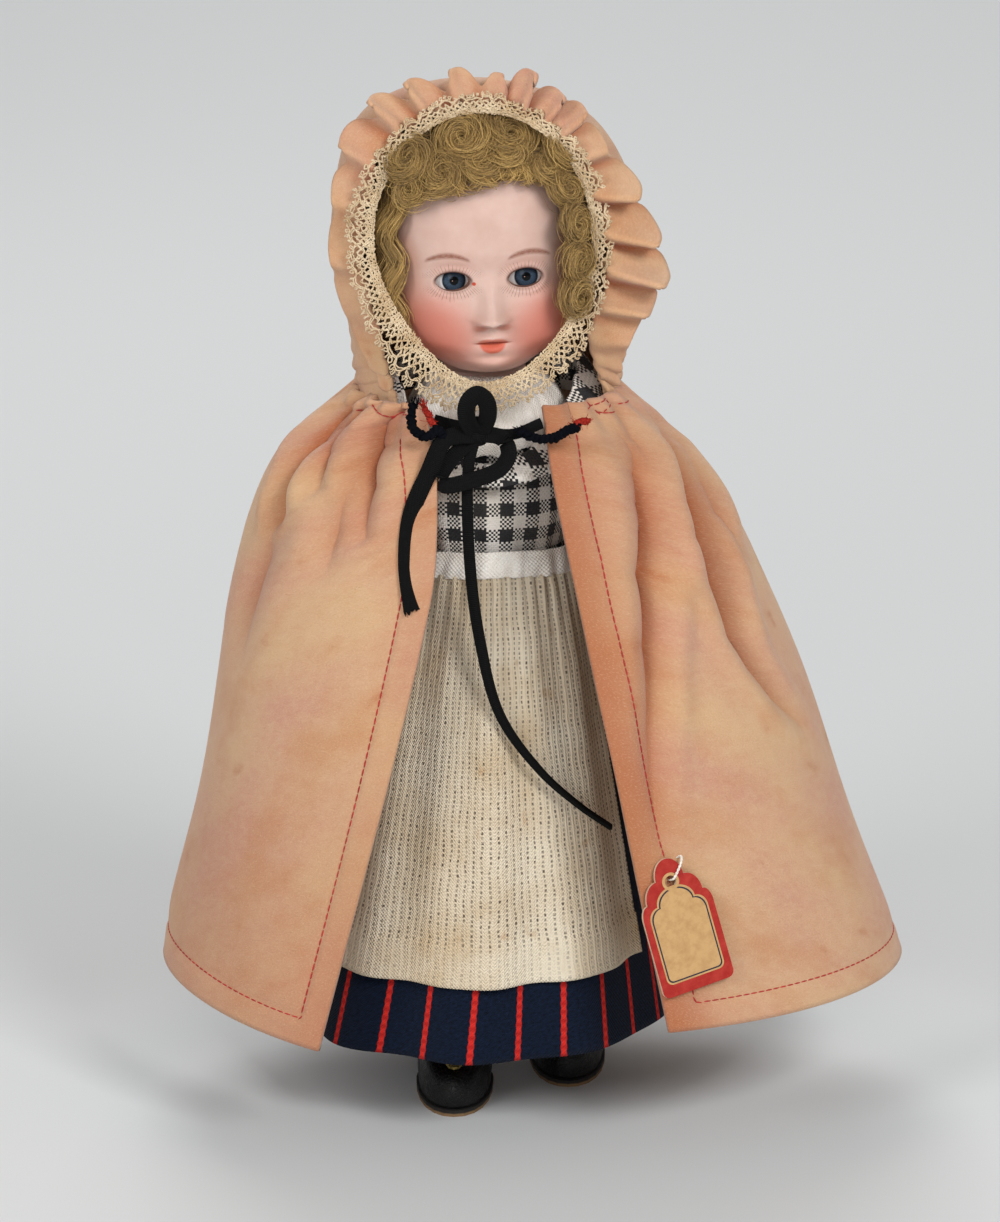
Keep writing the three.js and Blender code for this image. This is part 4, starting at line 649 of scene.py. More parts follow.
turns = full_turn(144)
levels = np.linspace(0.995, 0.505, 56)
rings = []
for h in levels:
    side, front, back = torso_shape(h) + 1.1
    tuck = 0.5 * soft_step(h, 0.8, 0.55) * np.cos(11 * turns + 2 * math.sin(9 * h))
    tuck = tuck + 0.25 * np.cos(23 * turns)
    side = side + tuck * 0.5
    rings.append(on_ring(turns, hip_z + h * torso_length, side, side, front + tuck, back + tuck, 2.3))
bodice = net_piece("gingham_bodice", np.array(rings), gingham, (20 * check_repeat, 38), closed=True)
thicken(bodice, 0.9)
armhole_round, armhole_steps = 9, 48
arm_turns = full_turn(armhole_steps)
hole_y, hole_z = armhole_round * np.cos(arm_turns), shoulder_z + armhole_round * np.sin(arm_turns)
armhole = [np.stack([np.full(armhole_steps, x), hole_y, hole_z], -1) for x in (-40, 40)]
armhole = net_piece("armhole", np.array(armhole), gingham, closed=True)
cap_ends(armhole, armhole_steps)
cut_away(bodice, armhole)
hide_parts("blouse")
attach(bodice, "torso")

arm_radius, arm_length, arm_pivot_x, arm_splay = 7.6, 76.0, 24.672, math.radians(22)
sleeve_ease = 1.15
arm_shape = through([
    (-1, 0.1, 0.1, 0),
    (-0.86, 0.5, 0.5, 0),
    (-0.5, 0.87, 0.87, 0),
    (0, 1, 1, 0),
    (0.11, 0.98, 1, 0),
    (0.27, 0.88, 0.94, 0),
    (0.4, 0.81, 0.88, 0.6),
    (0.55, 0.75, 0.8, 1.4),
    (0.72, 0.62, 0.62, 2.4),
])
for name, side in (("left", 1), ("right", -1)):
    rings = []
    for h in np.concatenate([np.linspace(-0.97, 0, 18, endpoint=False), np.linspace(0, 0.684, 40)]):
        wide, deep, ahead = arm_shape(h)
        drop = h * (arm_radius if h < 0 else arm_length)
        x = side * (arm_pivot_x + max(0.0, drop) * math.tan(arm_splay))
        pleat = 0.28 * np.cos(9 * turns + h * 4) * soft_step(h, 0.1, 0.5)
        half = wide * arm_radius + sleeve_ease
        deep = deep * arm_radius + sleeve_ease + pleat[::2]
        level = shoulder_z - drop + (1.1 if h < -0.9 else 0)
        rings.append(on_ring(turns[::2], level, half, half, deep, deep, 2.0, x, -ahead))
    sleeve_size = 8 * check_repeat, 62
    sleeve = net_piece(f"{name}_gingham_sleeve", np.array(rings), gingham, sleeve_size, closed=True)
    thicken(sleeve, 0.9)
    ends = sorted((21.2 * side, -30 * side))
    box = [np.array([(x, -30, 90), (x, 30, 90), (x, 30, 190), (x, -30, 190)], float) for x in ends]
    box = net_piece("inside_seam", np.array(box), gingham, closed=True)
    cap_ends(box, 4)
    cut_away(sleeve, box)
    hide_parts(f"{name}_sleeve")
    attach(sleeve, f"{name}_arm")


# Neckwear: a white cotton collar lies over the neck of the bodice, and a gingham kerchief is folded over it.
# Both go round the neck and under the gathers of the cape.

def woven(name, light, dark, thread, blot=0.05, depth=0.0001, **sockets):
    """Plain cloth: single threads over and under, soiled in soft patches; sizes in millimetres.

    The threads are drawn coarser than real ones, so that they show."""
    made, tree, shader = start_material(name, Roughness=0.92, **sockets)
    uv = put(tree, "UVMap", uv_map="cloth")
    parts = put(tree, "SeparateXYZ", uv)
    rounds = [put(tree, "Math MULTIPLY", parts.outputs[k], math.pi / thread) for k in (0, 1)]
    warp, weft = (put(tree, "Math SINE", each) for each in rounds)
    drawn_out = put(tree, "Mapping", {"Vector": uv, "Scale": (2.2, 0.35, 1)})
    slub = put(tree, "TexNoise", drawn_out, 1.1, 3, 0.55)
    crossed = put(tree, "Math MULTIPLY", warp, weft)
    weave = put(tree, "Math ADD", crossed, put(tree, "Math MULTIPLY", slub, 1.2))
    blots = put(tree, "Math MULTIPLY", put(tree, "TexNoise", uv, blot, 5, 0.6), 0.8)
    soil = put(tree, "Math ADD", blots, put(tree, "Math MULTIPLY", slub, 0.2))
    shade = put(tree, "Mix RGBA", put(tree, "MapRange", soil, 0.38, 0.66), light, dark)
    bump = put(tree, "Bump", {"Distance": depth, "Height": weave})
    fill(tree, shader, {"Base Color": shade, "Normal": bump})
    return made, tree, shader


# White cotton: plain lawn, soft and matt, yellowed in patches.
white_cotton = woven("white cotton", "#f7f3ec", "#ddd2c3", 0.4, 0.12)[0]
collar_line = through([
    (0, 12.3, 180.5),
    (0.25, 14.2, 178.0),
    (0.5, 17.0, 174.7),
    (0.75, 18.9, 170.5),
    (1, 19.6, 167.4),
])
turns = full_turn(180)
rings = []
for v in np.linspace(0, 1, 22):
    r, z = collar_line(v)
    crease = 0.5 * v * np.cos(17 * turns + 3 * v) + 0.2 * np.cos(41 * turns)
    dropped = v * (0.5 * np.cos(13 * turns) - 4.6 * np.clip(np.cos(turns), 0, 1) ** 3)
    rings.append(on_ring(turns, z + dropped, r + crease, r + crease, r + crease + 0.8 * v, r + crease))
collar = thicken(net_piece("cotton_collar", np.array(rings), white_cotton, (110, 17), closed=True), 0.8)
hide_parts("collar")
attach(collar, "torso")

turns, v = np.meshgrid(full_turn(220), np.linspace(0, 1, 30))
ahead = np.clip(np.cos(turns), 0, 1) ** 1.3
bulge = 1 + 0.05 * np.sin(math.pi * v)
high = 184.0 - 23.0 * ahead
low = 171.0 - 14.5 * ahead
wrinkle = 0.35 * np.sin(13 * turns + 5 * v) * np.sin(math.pi * v) + 0.25 * np.sin(29 * turns - 9 * v)
reach = [(top + (foot - top) * v) * bulge + wrinkle for top, foot in ((22, 29.35), (20.4, 24.0), (21, 23.35))]
kerchief_net = on_ring(turns, high + (low - high) * v, reach[0], reach[0], reach[1], reach[2])
kerchief = net_piece("gingham_kerchief", kerchief_net, gingham, closed=True,
                     uv=np.stack([24.0 * turns, high[0, 0] - kerchief_net[..., 2]], -1))
layer = kerchief.data.uv_layers[0].data
flat = np.empty(len(layer) * 2, np.float32)
layer.foreach_get("uv", flat)
flat = flat.reshape(-1, 4, 2)
bias = math.radians(37)
turned = flat @ np.array([[math.cos(bias), math.sin(bias)], [-math.sin(bias), math.cos(bias)]], np.float32)
on_right = (flat[:, :, 0].mean(1) > 24.0 * math.pi)[:, None, None]
layer.foreach_set("uv", np.where(on_right, turned, flat).ravel())
thicken(kerchief, 0.8)
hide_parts("kerchief")
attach(kerchief, "torso")


# Skirt: navy wool woven with red double-thread stripes, gathered into the waist and turned up at the hem.
# It hangs free over the legs, under the apron.

skirt_top, skirt_hem, apron_hem = 138.2, 21.0, 40.0
waist_side, waist_front, waist_back = torso_shape(0.5548) + 2.9
hem_side, hem_front, hem_back = 45.5, 47.0, 44.0


def on_skirt(turn, z, out):
    """Points round the skirt at given heights, some way out from it."""
    drop = np.clip((skirt_top - z) / (skirt_top - skirt_hem), 0, 1)
    flare = drop ** 0.85
    depth = 0.25 + 1.5 * drop
    grow = out + depth * (0.4 + np.cos(9 * turn + 0.6) * (0.7 + 0.3 * np.cos(2 * turn + 1)))
    square = 2.3 - 0.3 * np.minimum(1, drop * 3)
    side = waist_side + (hem_side - waist_side) * flare + grow
    front = waist_front + (hem_front - waist_front) * flare + grow
    back = waist_back + (hem_back - waist_back) * flare + grow
    return on_ring(turn, z, side, side, front, back, square, -2.0 * drop)


# Navy wool: a fuzzy dark twill with two-ply red threads; across the UV map one unit is one stripe.
stripes, stripe_apart, ply_pitch, twill_pitch = 25, 10.7, 2.2, 0.8
navy_wool, tree, shader = start_material("striped navy wool", Roughness=0.95, Sheen_Weight=0.04,
                                         Specular_IOR_Level=0.1)
uv = put(tree, "UVMap", uv_map="cloth")
parts = put(tree, "SeparateXYZ", uv)
leaning = put(tree, "Math ADD", parts.outputs[0], put(tree, "Math MULTIPLY", parts.outputs[1], 0.0055))
from_stripe = put(tree, "Math ABSOLUTE", put(tree, "Math SUBTRACT", put(tree, "Math FRACT", leaning), 0.5))
twist = put(tree, "Math SINE", put(tree, "Math MULTIPLY", parts.outputs[1], 2 * math.pi / ply_pitch))
wobble = put(tree, "Math MULTIPLY", twist, 0.008)
in_stripe = put(tree, "MapRange", put(tree, "Math ADD", from_stripe, wobble), 0.072, 0.056)
combed = put(tree, "Mapping", {"Vector": uv, "Scale": (stripe_apart, 1.6, 1)})
fuzz = put(tree, "TexNoise", combed, 1.0, 5, 0.7)
slant = put(tree, "Math ADD", put(tree, "Math MULTIPLY", parts.outputs[0], stripe_apart), parts.outputs[1])
twill = put(tree, "Math SINE", put(tree, "Math MULTIPLY", slant, 2 * math.pi / twill_pitch))
navy = put(tree, "Mix RGBA", put(tree, "MapRange", fuzz, 0.32, 0.7), "#070c17", "#142036")
# Painted light and shade along the red threads: the crests of the twisted plies are drawn lighter.
lit = put(tree, "MapRange", put(tree, "Math ADD", twist, fuzz), -1.2, 1.3)
red = put(tree, "Mix RGBA", lit, "#a01c1c", "#cf2f28")
fluff = put(tree, "Math ADD", fuzz, in_stripe)
height = put(tree, "Math ADD", put(tree, "Math MULTIPLY", twill, 0.25), fluff)
bump = put(tree, "Bump", {"Distance": 0.00022, "Height": height})
fill(tree, shader, {"Base Color": put(tree, "Mix RGBA", in_stripe, navy, red), "Normal": bump})

turns, v = np.meshgrid(full_turn(360), np.linspace(0, 1, 70))
pleat = 0.45 * np.exp(-v / 0.12) * np.cos(48 * turns)
skirt_net = on_skirt(turns, skirt_top + (skirt_hem - skirt_top) * v, pleat)
skirt = thicken(net_piece("wool_skirt", skirt_net, navy_wool, (stripes, 125), closed=True), 0.9)
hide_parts("skirt")
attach(skirt, "torso")


# Apron: cream cotton dimity with woven columns of dark dashes, a deep doubled hem, and a white waistband.
# It is gathered into the band, which ties round the waist over the skirt.

# Dimity: raised ribs with a row of small dark dashes between each pair, yellowed and stained with age.
column_apart, dash_apart, dashes_end = 2.35, 1.2, 90.0
dimity, tree, shader = woven("apron dimity", "#e9ddc6", "#ccb491", 0.42, 0.035)
uv = put(tree, "UVMap", uv_map="cloth")
parts = put(tree, "SeparateXYZ", uv)
sway = put(tree, "Math MULTIPLY", put(tree, "TexNoise", uv, 0.16, 2, 0.55), 1.6)
swayed = put(tree, "Math ADD", parts.outputs[0], sway)
column = put(tree, "Math FRACT", put(tree, "Math DIVIDE", swayed, column_apart))
from_column = put(tree, "Math ABSOLUTE", put(tree, "Math SUBTRACT", column, 0.5))
dash = put(tree, "Math FRACT", put(tree, "Math DIVIDE", parts.outputs[1], dash_apart))
from_dash = put(tree, "Math ABSOLUTE", put(tree, "Math SUBTRACT", dash, 0.5))
worn = put(tree, "MapRange", put(tree, "TexNoise", uv, 0.75, 2, 0.55), 0.36, 0.62, 0.25, 1.0)
above_hem = put(tree, "MapRange", parts.outputs[1], dashes_end + 1, dashes_end, 0.45, 0.95)
in_mark = put(tree, "MapRange", from_column, 0.17, 0.1)
for share in (put(tree, "MapRange", from_dash, 0.36, 0.26), worn, above_hem):
    in_mark = put(tree, "Math MULTIPLY", in_mark, share)
plain = shader.inputs["Base Color"].links[0].from_socket
rust = put(tree, "MapRange", put(tree, "TexNoise", uv, 0.11, 2, 0.6), 0.66, 0.74, 0.0, 0.5)
plain = put(tree, "Mix RGBA", rust, plain, "#b98d5c")
marked = put(tree, "Mix RGBA", in_mark, plain, "#55493c")
rib = put(tree, "MapRange", from_column, 0.3, 0.5)
weave = shader.inputs["Normal"].links[0].from_node.inputs["Height"].links[0].from_socket
height = put(tree, "Math ADD", put(tree, "Math MULTIPLY", rib, 1.5), weave)
bump = put(tree, "Bump", {"Distance": 0.00012, "Height": height})
fill(tree, shader, {"Base Color": marked, "Normal": bump})

apron_out, apron_spread, band_top, band_foot = 1.55, math.radians(62), 139.8, 133.8
apron_top = band_foot + 0.6
u, v = np.meshgrid(np.linspace(0, 1, 240), np.linspace(0, 1, 110))
turns = apron_spread * (2 * u - 1)
fine = 0.42 * np.exp(-v / 0.16) * np.cos(34 * math.pi * u + 1.3 * np.sin(9 * u))
broad = 0.6 * np.sin(7.3 * u * math.pi + 2 * v) + 0.5 * np.sin(12.1 * u * math.pi - 1.5 * v + 1)
gather = fine + 0.9 * soft_step(v, 0.02, 0.3) * broad
hem_fold = 0.35 * soft_step(v, 0.893, 0.899)
apron_net = on_skirt(turns, apron_top + (apron_hem - apron_top) * v, apron_out + 0.4 + gather + hem_fold)
apron_net[..., 2] -= 0.8 * np.cos(1.6 * turns) * v
apron = thicken(net_piece("dimity_apron", apron_net, dimity, (104, 100)), 0.7)
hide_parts("apron")
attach(apron, "torso")

turns, v = np.meshgrid(full_turn(240), np.linspace(0, 1, 14))
pucker = 0.3 * np.cos(37 * turns + 2 * v) * v + 0.22 * np.cos(21 * turns) + 0.55 * np.sin(math.pi * v)
band_z = band_top + (band_foot - band_top) * v
band_net = on_skirt(turns, np.minimum(skirt_top, band_z), apron_out + 0.5 + pucker)
band_net[..., 2] = band_z + 0.35 * np.sin(3 * turns + 1)
band = thicken(net_piece("cotton_waistband", band_net, white_cotton, (125, 5.2), closed=True), 0.9)
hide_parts("apron_waistband")
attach(band, "torso")


# Cape: one wide piece of napped wool felt, gathered at the neck, its edge doubled at the fronts and hem.
# A line of red thread holds the doubled edge, and small hand stitches hold the gathers.

cape_top, cape_foot, cape_felt = 176.1, 34.0, 1.4
cape_dips = 8.6, 1.0  # how much lower the right and the left front corner hang
cape_size = through([
    (-176.1, 31.0, 31.0, 26.5, 25.0, 13.0, 13.0),
    (-159.8, 49.5, 48.5, 37.0, 33.0, 11.4, 15.6),
    (-135.0, 58.0, 64.5, 46.0, 45.0, 13.2, 21.0),
    (-34.0, 78.7, 101.0, 66.0, 61.0, 39.5, 42.7),
])
# Millimetres round the cape, by shares of its drop.
cape_round = through([(0, 150), (0.02, 168), (0.1, 230), (0.3, 305), (0.6, 351), (1, 402)])
cape_drop = 152.0
cape_edge = 6.0  # the doubled edge

# Each crease: its half width, then where it runs on the cape and how deep it is there.
cape_creases = (
    (2.3, (
        (0.905, 0.02, 0.4), (0.905, 0.06, 1.2), (0.911, 0.118, 3), (0.921, 0.165, 3.8),
        (0.946, 0.273, 3.8), (0.959, 0.383, 3.2), (0.973, 0.517, 1.9), (0.985, 0.7, 0.3),
    )),
    (1.6, (
        (0.87, 0.013, 0.8), (0.888, 0.068, 1.5), (0.894, 0.11, 0.5),
    )),
    (3.0, (
        (0.8, 0.055, 0.8), (0.82, 0.092, 2.4), (0.839, 0.128, 4), (0.865, 0.185, 5.4),
        (0.879, 0.238, 5.6), (0.883, 0.31, 4.8), (0.886, 0.393, 3.4), (0.879, 0.443, 2.6),
        (0.865, 0.505, 1.9), (0.847, 0.557, 0.6),
    )),
    (2.0, (
        (0.79, 0.1, 0.6), (0.82, 0.16, 1.6), (0.838, 0.205, 1.8), (0.846, 0.275, 0.5),
    )),
    (2.2, (
        (0.131, 0.004, 1.4), (0.155, 0.02, 2.6), (0.16, 0.05, 3.8), (0.157, 0.085, 4.2),
        (0.157, 0.122, 3.8), (0.158, 0.17, 2.8), (0.158, 0.205, 1.2),
    )),
    (1.8, (
        (0.109, 0.018, 1.8), (0.126, 0.048, 3.4), (0.118, 0.088, 2.8), (0.112, 0.14, 1),
    )),
    (1.7, (
        (0.044, 0.008, 1.6), (0.068, 0.033, 3.2), (0.066, 0.07, 3.6), (0.061, 0.125, 3),
        (0.058, 0.2, 1.2),
    )),
    (2.8, (
        (0.086, 0.085, 0.5), (0.083, 0.107, 1.3), (0.083, 0.143, 1.8), (0.084, 0.2, 1.7),
        (0.087, 0.258, 0.5),
    )),
    (5.0, (
        (0.161, 0.205, 1), (0.163, 0.273, 1.9), (0.166, 0.343, 1.9), (0.158, 0.425, 0.5),
    )),
)
ripple_seed = np.random.default_rng(11)
cape_ripples = [[ripple_seed.uniform(*ends) for ends in ((4, 17), (1, 6), (0, 6.28))] for _ in range(9)]


def bare_cape(u, v, grow=0.0):
    """Points on the cape without folds, by shares of the way round and of the way down."""
    level = cape_top + (cape_foot - cape_top) * v
    right, left, front, back, open_right, open_left = cape_size(-level)
    first = np.arcsin(np.minimum(0.95, open_right / right))
    last = 2 * math.pi - np.arcsin(np.minimum(0.95, open_left / left))
    turn = first + (last - first) * u
    dip = (cape_dips[0] + (cape_dips[1] - cape_dips[0]) * u) * v * np.clip(np.cos(turn), 0, None) ** 2
    return on_ring(-turn, level - dip, left + grow, right + grow, front + grow, back + grow)


def flat_place(u, v):
    """Where a place on the cape lies on its cloth when flat, in millimetres."""
    return np.stack([(u - 0.5) * cape_round(v)[0], v * cape_drop], -1)


def crease_depth(u, v):
    """How far the cloth is drawn in at a place, and how far it rolls out beside the creases."""
    place = flat_place(u, v)
    inward, outward = np.zeros(u.shape), np.zeros(u.shape)
    for width, run in cape_creases:
        run = np.array(run)
        line = flat_place(run[:, 0], run[:, 1])
        best, depth = np.full(u.shape, 1e9), np.zeros(u.shape)
        for a, b, deep_a, deep_b in zip(line[:-1], line[1:], run[:-1, 2], run[1:, 2]):
            along = np.clip(((place - a) @ (b - a)) / ((b - a) @ (b - a)), 0, 1)
            far = np.linalg.norm(place - a - along[..., None] * (b - a), axis=-1)
            depth = np.where(far < best, deep_a + (deep_b - deep_a) * along, depth)
            best = np.minimum(best, far)
        inward += 1.5 * depth * np.exp(-((best / (0.85 * width)) ** 1.3))
        outward += 0.6 * depth * np.exp(-(((best - 2.0 * width) / (1.2 * width)) ** 2))
    return inward, outward


def on_cape(u, v):
    """Points on the cape with all its folds, gathers and doubled edge."""
    u, v = np.broadcast_arrays(np.asarray(u, float), np.asarray(v, float))
    inward, outward = crease_depth(u, v)
    behind = soft_step(u, 0.2, 0.3) * (1 - soft_step(u, 0.68, 0.78))
    hang = 3.0 * soft_step(v, 0, 0.14) * (1 - 0.55 * soft_step(v, 0.2, 0.8))
    folds = hang * behind * np.cos(18 * math.pi * u + 0.8 * np.sin(5 * u))
    near_edge = np.minimum(np.minimum(u, 1 - u) * cape_round(v)[0], (1 - v) * cape_drop)
    free = soft_step(near_edge, 0, 14)
    gathers = 0.75 * np.exp(-((v / 0.075) ** 2)) * np.cos(56 * math.pi * u + 3 * np.sin(11 * u))
    drape = sum(np.sin(a * u + b * v * 3 + c) for a, b, c in cape_ripples) * 0.22 * soft_step(v, 0.02, 0.3)
    doubled = 0.45 * (1 - soft_step(near_edge, cape_edge - 0.5, cape_edge + 0.7))
    sewn = -0.4 * np.exp(-(((near_edge - cape_edge - 0.2) / 0.6) ** 2))
    hem_wave = 1.1 * soft_step(v, 0.7, 1) * np.sin(31 * u + 1) * free
    return bare_cape(u, v, (folds + drape) * free - inward + outward + gathers + doubled + sewn + hem_wave)


# Felt: a dense nap with no weave, a faded pale peach; deep orange is painted into its creases as shade, and it is
# drawn darker along the cape's front edges and towards the bottom on one side.
felt, tree, shader = start_material("napped wool felt", Roughness=0.96, Sheen_Weight=0.22,
                                    Sheen_Roughness=0.55)
uv = put(tree, "UVMap", uv_map="cloth")
nap = put(tree, "TexNoise", uv, 2.3, 5, 0.75)
mottle = put(tree, "TexNoise", uv, 0.45, 5, 0.65)
fade = put(tree, "TexNoise", uv, 0.03, 3, 0.5)
spots = put(tree, "TexNoise", uv, 0.11, 2, 0.5)
drift = put(tree, "TexNoise", uv, 0.055, 4, 0.6)
kept = put(tree, "Attribute", attribute_name="crease_shade_and_edge_tint").outputs["Fac"]
shade = put(tree, "Mix RGBA", put(tree, "MapRange", fade, 0.36, 0.64), "#cfa67c", "#c68e74")
for colour, *range_of in (
    ("#d3b08b", mottle, 0.35, 0.75, 0.0, 0.5),
    ("#c08458", drift, 0.48, 0.68, 0.0, 0.6),
    ("#ad6638", spots, 0.68, 0.8, 0.0, 0.5),
    # Painted shade: deep orange where the creases and hollows are deepest, and darker near the front edges and
    # towards the bottom.
    ("#a95a2e", kept, 0.0, 1.0, 0.0, 0.92),
    ("#e6caa8", nap, 0.52, 0.78, 0.0, 0.5),
    ("#a06c48", nap, 0.46, 0.24, 0.0, 0.4),
):
    shade = put(tree, "Mix RGBA", put(tree, "MapRange", *range_of), shade, colour)
height = put(tree, "Math ADD", nap, put(tree, "Math MULTIPLY", mottle, 0.6))
bump = put(tree, "Bump", {"Distance": 0.00022, "Height": height})
fill(tree, shader, {"Base Color": shade, "Normal": bump})


def mark_points(mesh, layer_name, values):
    """Adds a layer of numbers to a mesh, one for each point."""
    layer = mesh.attributes.new(layer_name, "FLOAT", "POINT")
    layer.data.foreach_set("value", np.asarray(values, np.float32).ravel())


cape_columns = np.concatenate([np.linspace(0, 0.24, 120, endpoint=False),
                               np.linspace(0.24, 0.76, 72, endpoint=False), np.linspace(0.76, 1, 121)])
cape_rows = np.concatenate([np.linspace(0, 0.25, 58, endpoint=False), np.linspace(0.25, 1, 86)])
u, v = np.meshgrid(cape_columns, cape_rows)
cape = net_piece("felt_cape", on_cape(u, v), felt, uv=flat_place(u, v))
# Painted shade: the felt darkens with the depth of each crease; it is also drawn darker near the front edges and
# towards the bottom on one side.
from_front = np.minimum(u, 1 - u) * cape_round(v)[0]
edge_colour = 0.6 * np.exp(-((from_front / 9) ** 2)) * soft_step(u, 0.3, 0.7)
edge_colour = edge_colour + 0.25 * np.exp(-((from_front / 8) ** 2))
low_colour = 0.34 * soft_step(v, 0.5, 1.0) * (1 - soft_step(u, 0.3, 0.7))
crease_shade = np.clip(crease_depth(u, v)[0] / 5.0, 0, 1) ** 1.2
mark_points(cape.data, "crease_shade_and_edge_tint", np.clip(crease_shade + edge_colour + low_colour, 0, 1))
thicken(cape, cape_felt)
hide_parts("cape")


def normed(vectors):
    """Vectors brought to a length of one."""
    return np.asarray(vectors) / np.linalg.norm(vectors, axis=-1, keepdims=True)


def beside_cape(u, v, off):
    """Points a little outside the cape's face, for what is sewn to it."""
    step = 1e-3
    across = on_cape(np.clip(u + step, 0, 1), v) - on_cape(np.clip(u - step, 0, 1), v)
    down = on_cape(u, np.clip(v + step, 0, 1)) - on_cape(u, np.clip(v - step, 0, 1))
    out = normed(np.cross(down, across))
    middle = np.stack([np.zeros(len(out)), np.zeros(len(out)), on_cape(u, v)[:, 2]], -1)
    facing = np.sign(((on_cape(u, v) - middle) * out).sum(-1, keepdims=True))
    return on_cape(u, v) + out * facing * off


def start_tree(name, **inputs):
    """A new tree of geometry nodes that takes a mesh and other inputs, and what it is given."""
    tree = bpy.data.node_groups.new(name, "GeometryNodeTree")
    tree.interface.new_socket("Geometry", in_out="INPUT", socket_type="NodeSocketGeometry")
    for socket, kind in inputs.items():
        tree.interface.new_socket(socket, in_out="INPUT", socket_type="NodeSocket" + kind)
    tree.interface.new_socket("Geometry", in_out="OUTPUT", socket_type="NodeSocketGeometry")
    return tree, put(tree, "NodeGroupInput").outputs


def end_tree(tree, made, colour):
    """Gives out what a tree has made as one smooth mesh of one material."""
    soft = put(tree, "GeometryNodeSetShadeSmooth", put(tree, "GeometryNodeRealizeInstances", made))
    put(tree, "NodeGroupOutput", put(tree, "GeometryNodeSetMaterial", {"Geometry": soft, "Material": colour}))


def run_tree(name, runs, tree, values, **layers):
    """A plain mesh made by a tree along runs of millimetre points; values go to its inputs by name.

    Each layer has an entry for every run: one number, or one for each of its points."""
    ends = set(np.cumsum([len(run) for run in runs]).tolist())
    edges = [(k - 1, k) for k in range(1, max(ends)) if k not in ends]
    mesh = bpy.data.meshes.new(name)
    mesh.from_pydata(((np.concatenate(runs) + stand) / 1000).tolist(), edges, [])
    for layer, entries in layers.items():
        numbers = [np.broadcast_to(entry, len(run)) for entry, run in zip(entries, runs)]
        mark_points(mesh, layer, np.concatenate(numbers))
    piece = bpy.data.objects.new(name, mesh)
    bpy.context.collection.objects.link(piece)
    step = piece.modifiers.new("made", "NODES")
    step.node_group = tree
    for item in tree.interface.items_tree:
        if item.in_out == "INPUT" and item.name in values:
            step[item.identifier] = values[item.name]
    bake(piece)
    return piece


# Sewing thread: red cotton with a slight polish.
sewing_thread = grained("red sewing thread", "#8f1d1c", "#c33530", 2500, 0.00004, 0.7)

# Stitches: small beads of thread laid end to end along a line of points.
laid_stitches, given = start_tree("laid stitches", Pitch="Float", Length="Float", Thread="Float",
                                  Colour="Material")
line = put(laid_stitches, "GeometryNodeMeshToCurve", given["Geometry"])
spaced = put(laid_stitches, "GeometryNodeResampleCurve", {"Curve": line, "Length": given["Pitch"]},
             mode="LENGTH")
tangent = put(laid_stitches, "GeometryNodeInputTangent")
turn = put(laid_stitches, "FunctionNodeAlignRotationToVector", {"Vector": tangent}, axis="Z")
bead = put(laid_stitches, "GeometryNodeMeshUVSphere", {"Segments": 6, "Rings": 5, "Radius": 1.0})
size = put(laid_stitches, "CombineXYZ", given["Thread"], given["Thread"], given["Length"])
laid = put(laid_stitches, "GeometryNodeInstanceOnPoints",
           {"Points": spaced, "Instance": bead, "Rotation": turn, "Scale": size})
end_tree(laid_stitches, laid, given["Colour"])

down_v = np.linspace(0.05, 1 - cape_edge / cape_drop, 130)
in_u = cape_edge / cape_round(down_v)[0]
along_u = np.linspace(in_u[-1], 1 - in_u[-1], 300)[1:-1]
seam_u = np.concatenate([in_u, along_u, 1 - in_u[::-1]])
seam_v = np.concatenate([down_v, np.full(len(along_u), down_v[-1]), down_v[::-1]])
seam = beside_cape(seam_u, seam_v, cape_felt / 2 + 0.12)
edge_stitches = run_tree("cape_edge_stitches", [seam], laid_stitches,
                         {"Pitch": 0.0021, "Length": 0.00098, "Thread": 0.00021, "Colour": sewing_thread})
tacks, tack_steps = [], 10
for tack_u, tack_v in (
    ((0.935, 0.885), (0.012, 0.004)), ((0.915, 0.893), (0.022, 0.026)), ((0.93, 0.918), (0.006, 0.022)),
    ((0.905, 0.887), (0.018, 0.012)), ((0.03, 0.06), (0.016, 0.02)), ((0.055, 0.085), (0.02, 0.012)),
    ((0.1, 0.12), (0.012, 0.018)), ((0.86, 0.84), (0.014, 0.02)),
):
    tack_line = np.linspace(*tack_u, tack_steps), np.linspace(*tack_v, tack_steps)
    tacks.append(beside_cape(*tack_line, cape_felt / 2 + 0.1))
neck_tacks = run_tree("cape_neck_tacks", tacks, laid_stitches,
                      {"Pitch": 0.0016, "Length": 0.0009, "Thread": 0.00018, "Colour": sewing_thread})
for piece in (cape, edge_stitches, neck_tacks):
    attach(piece, "torso")


# Hood: the same felt, drawn up on a thread behind the brim, its free edge standing out in a rolled frill.
# It is whipped to the neck of the cape, and closed with a seam down the back.

hood_top, hood_seam, hood_brim, hood_mid, hood_edge = 249.2, 34.2, 17.5, 212.5, 175.3
drawn_at, hood_felt = 0.14, 1.2  # share of its depth in front of the thread; thickness

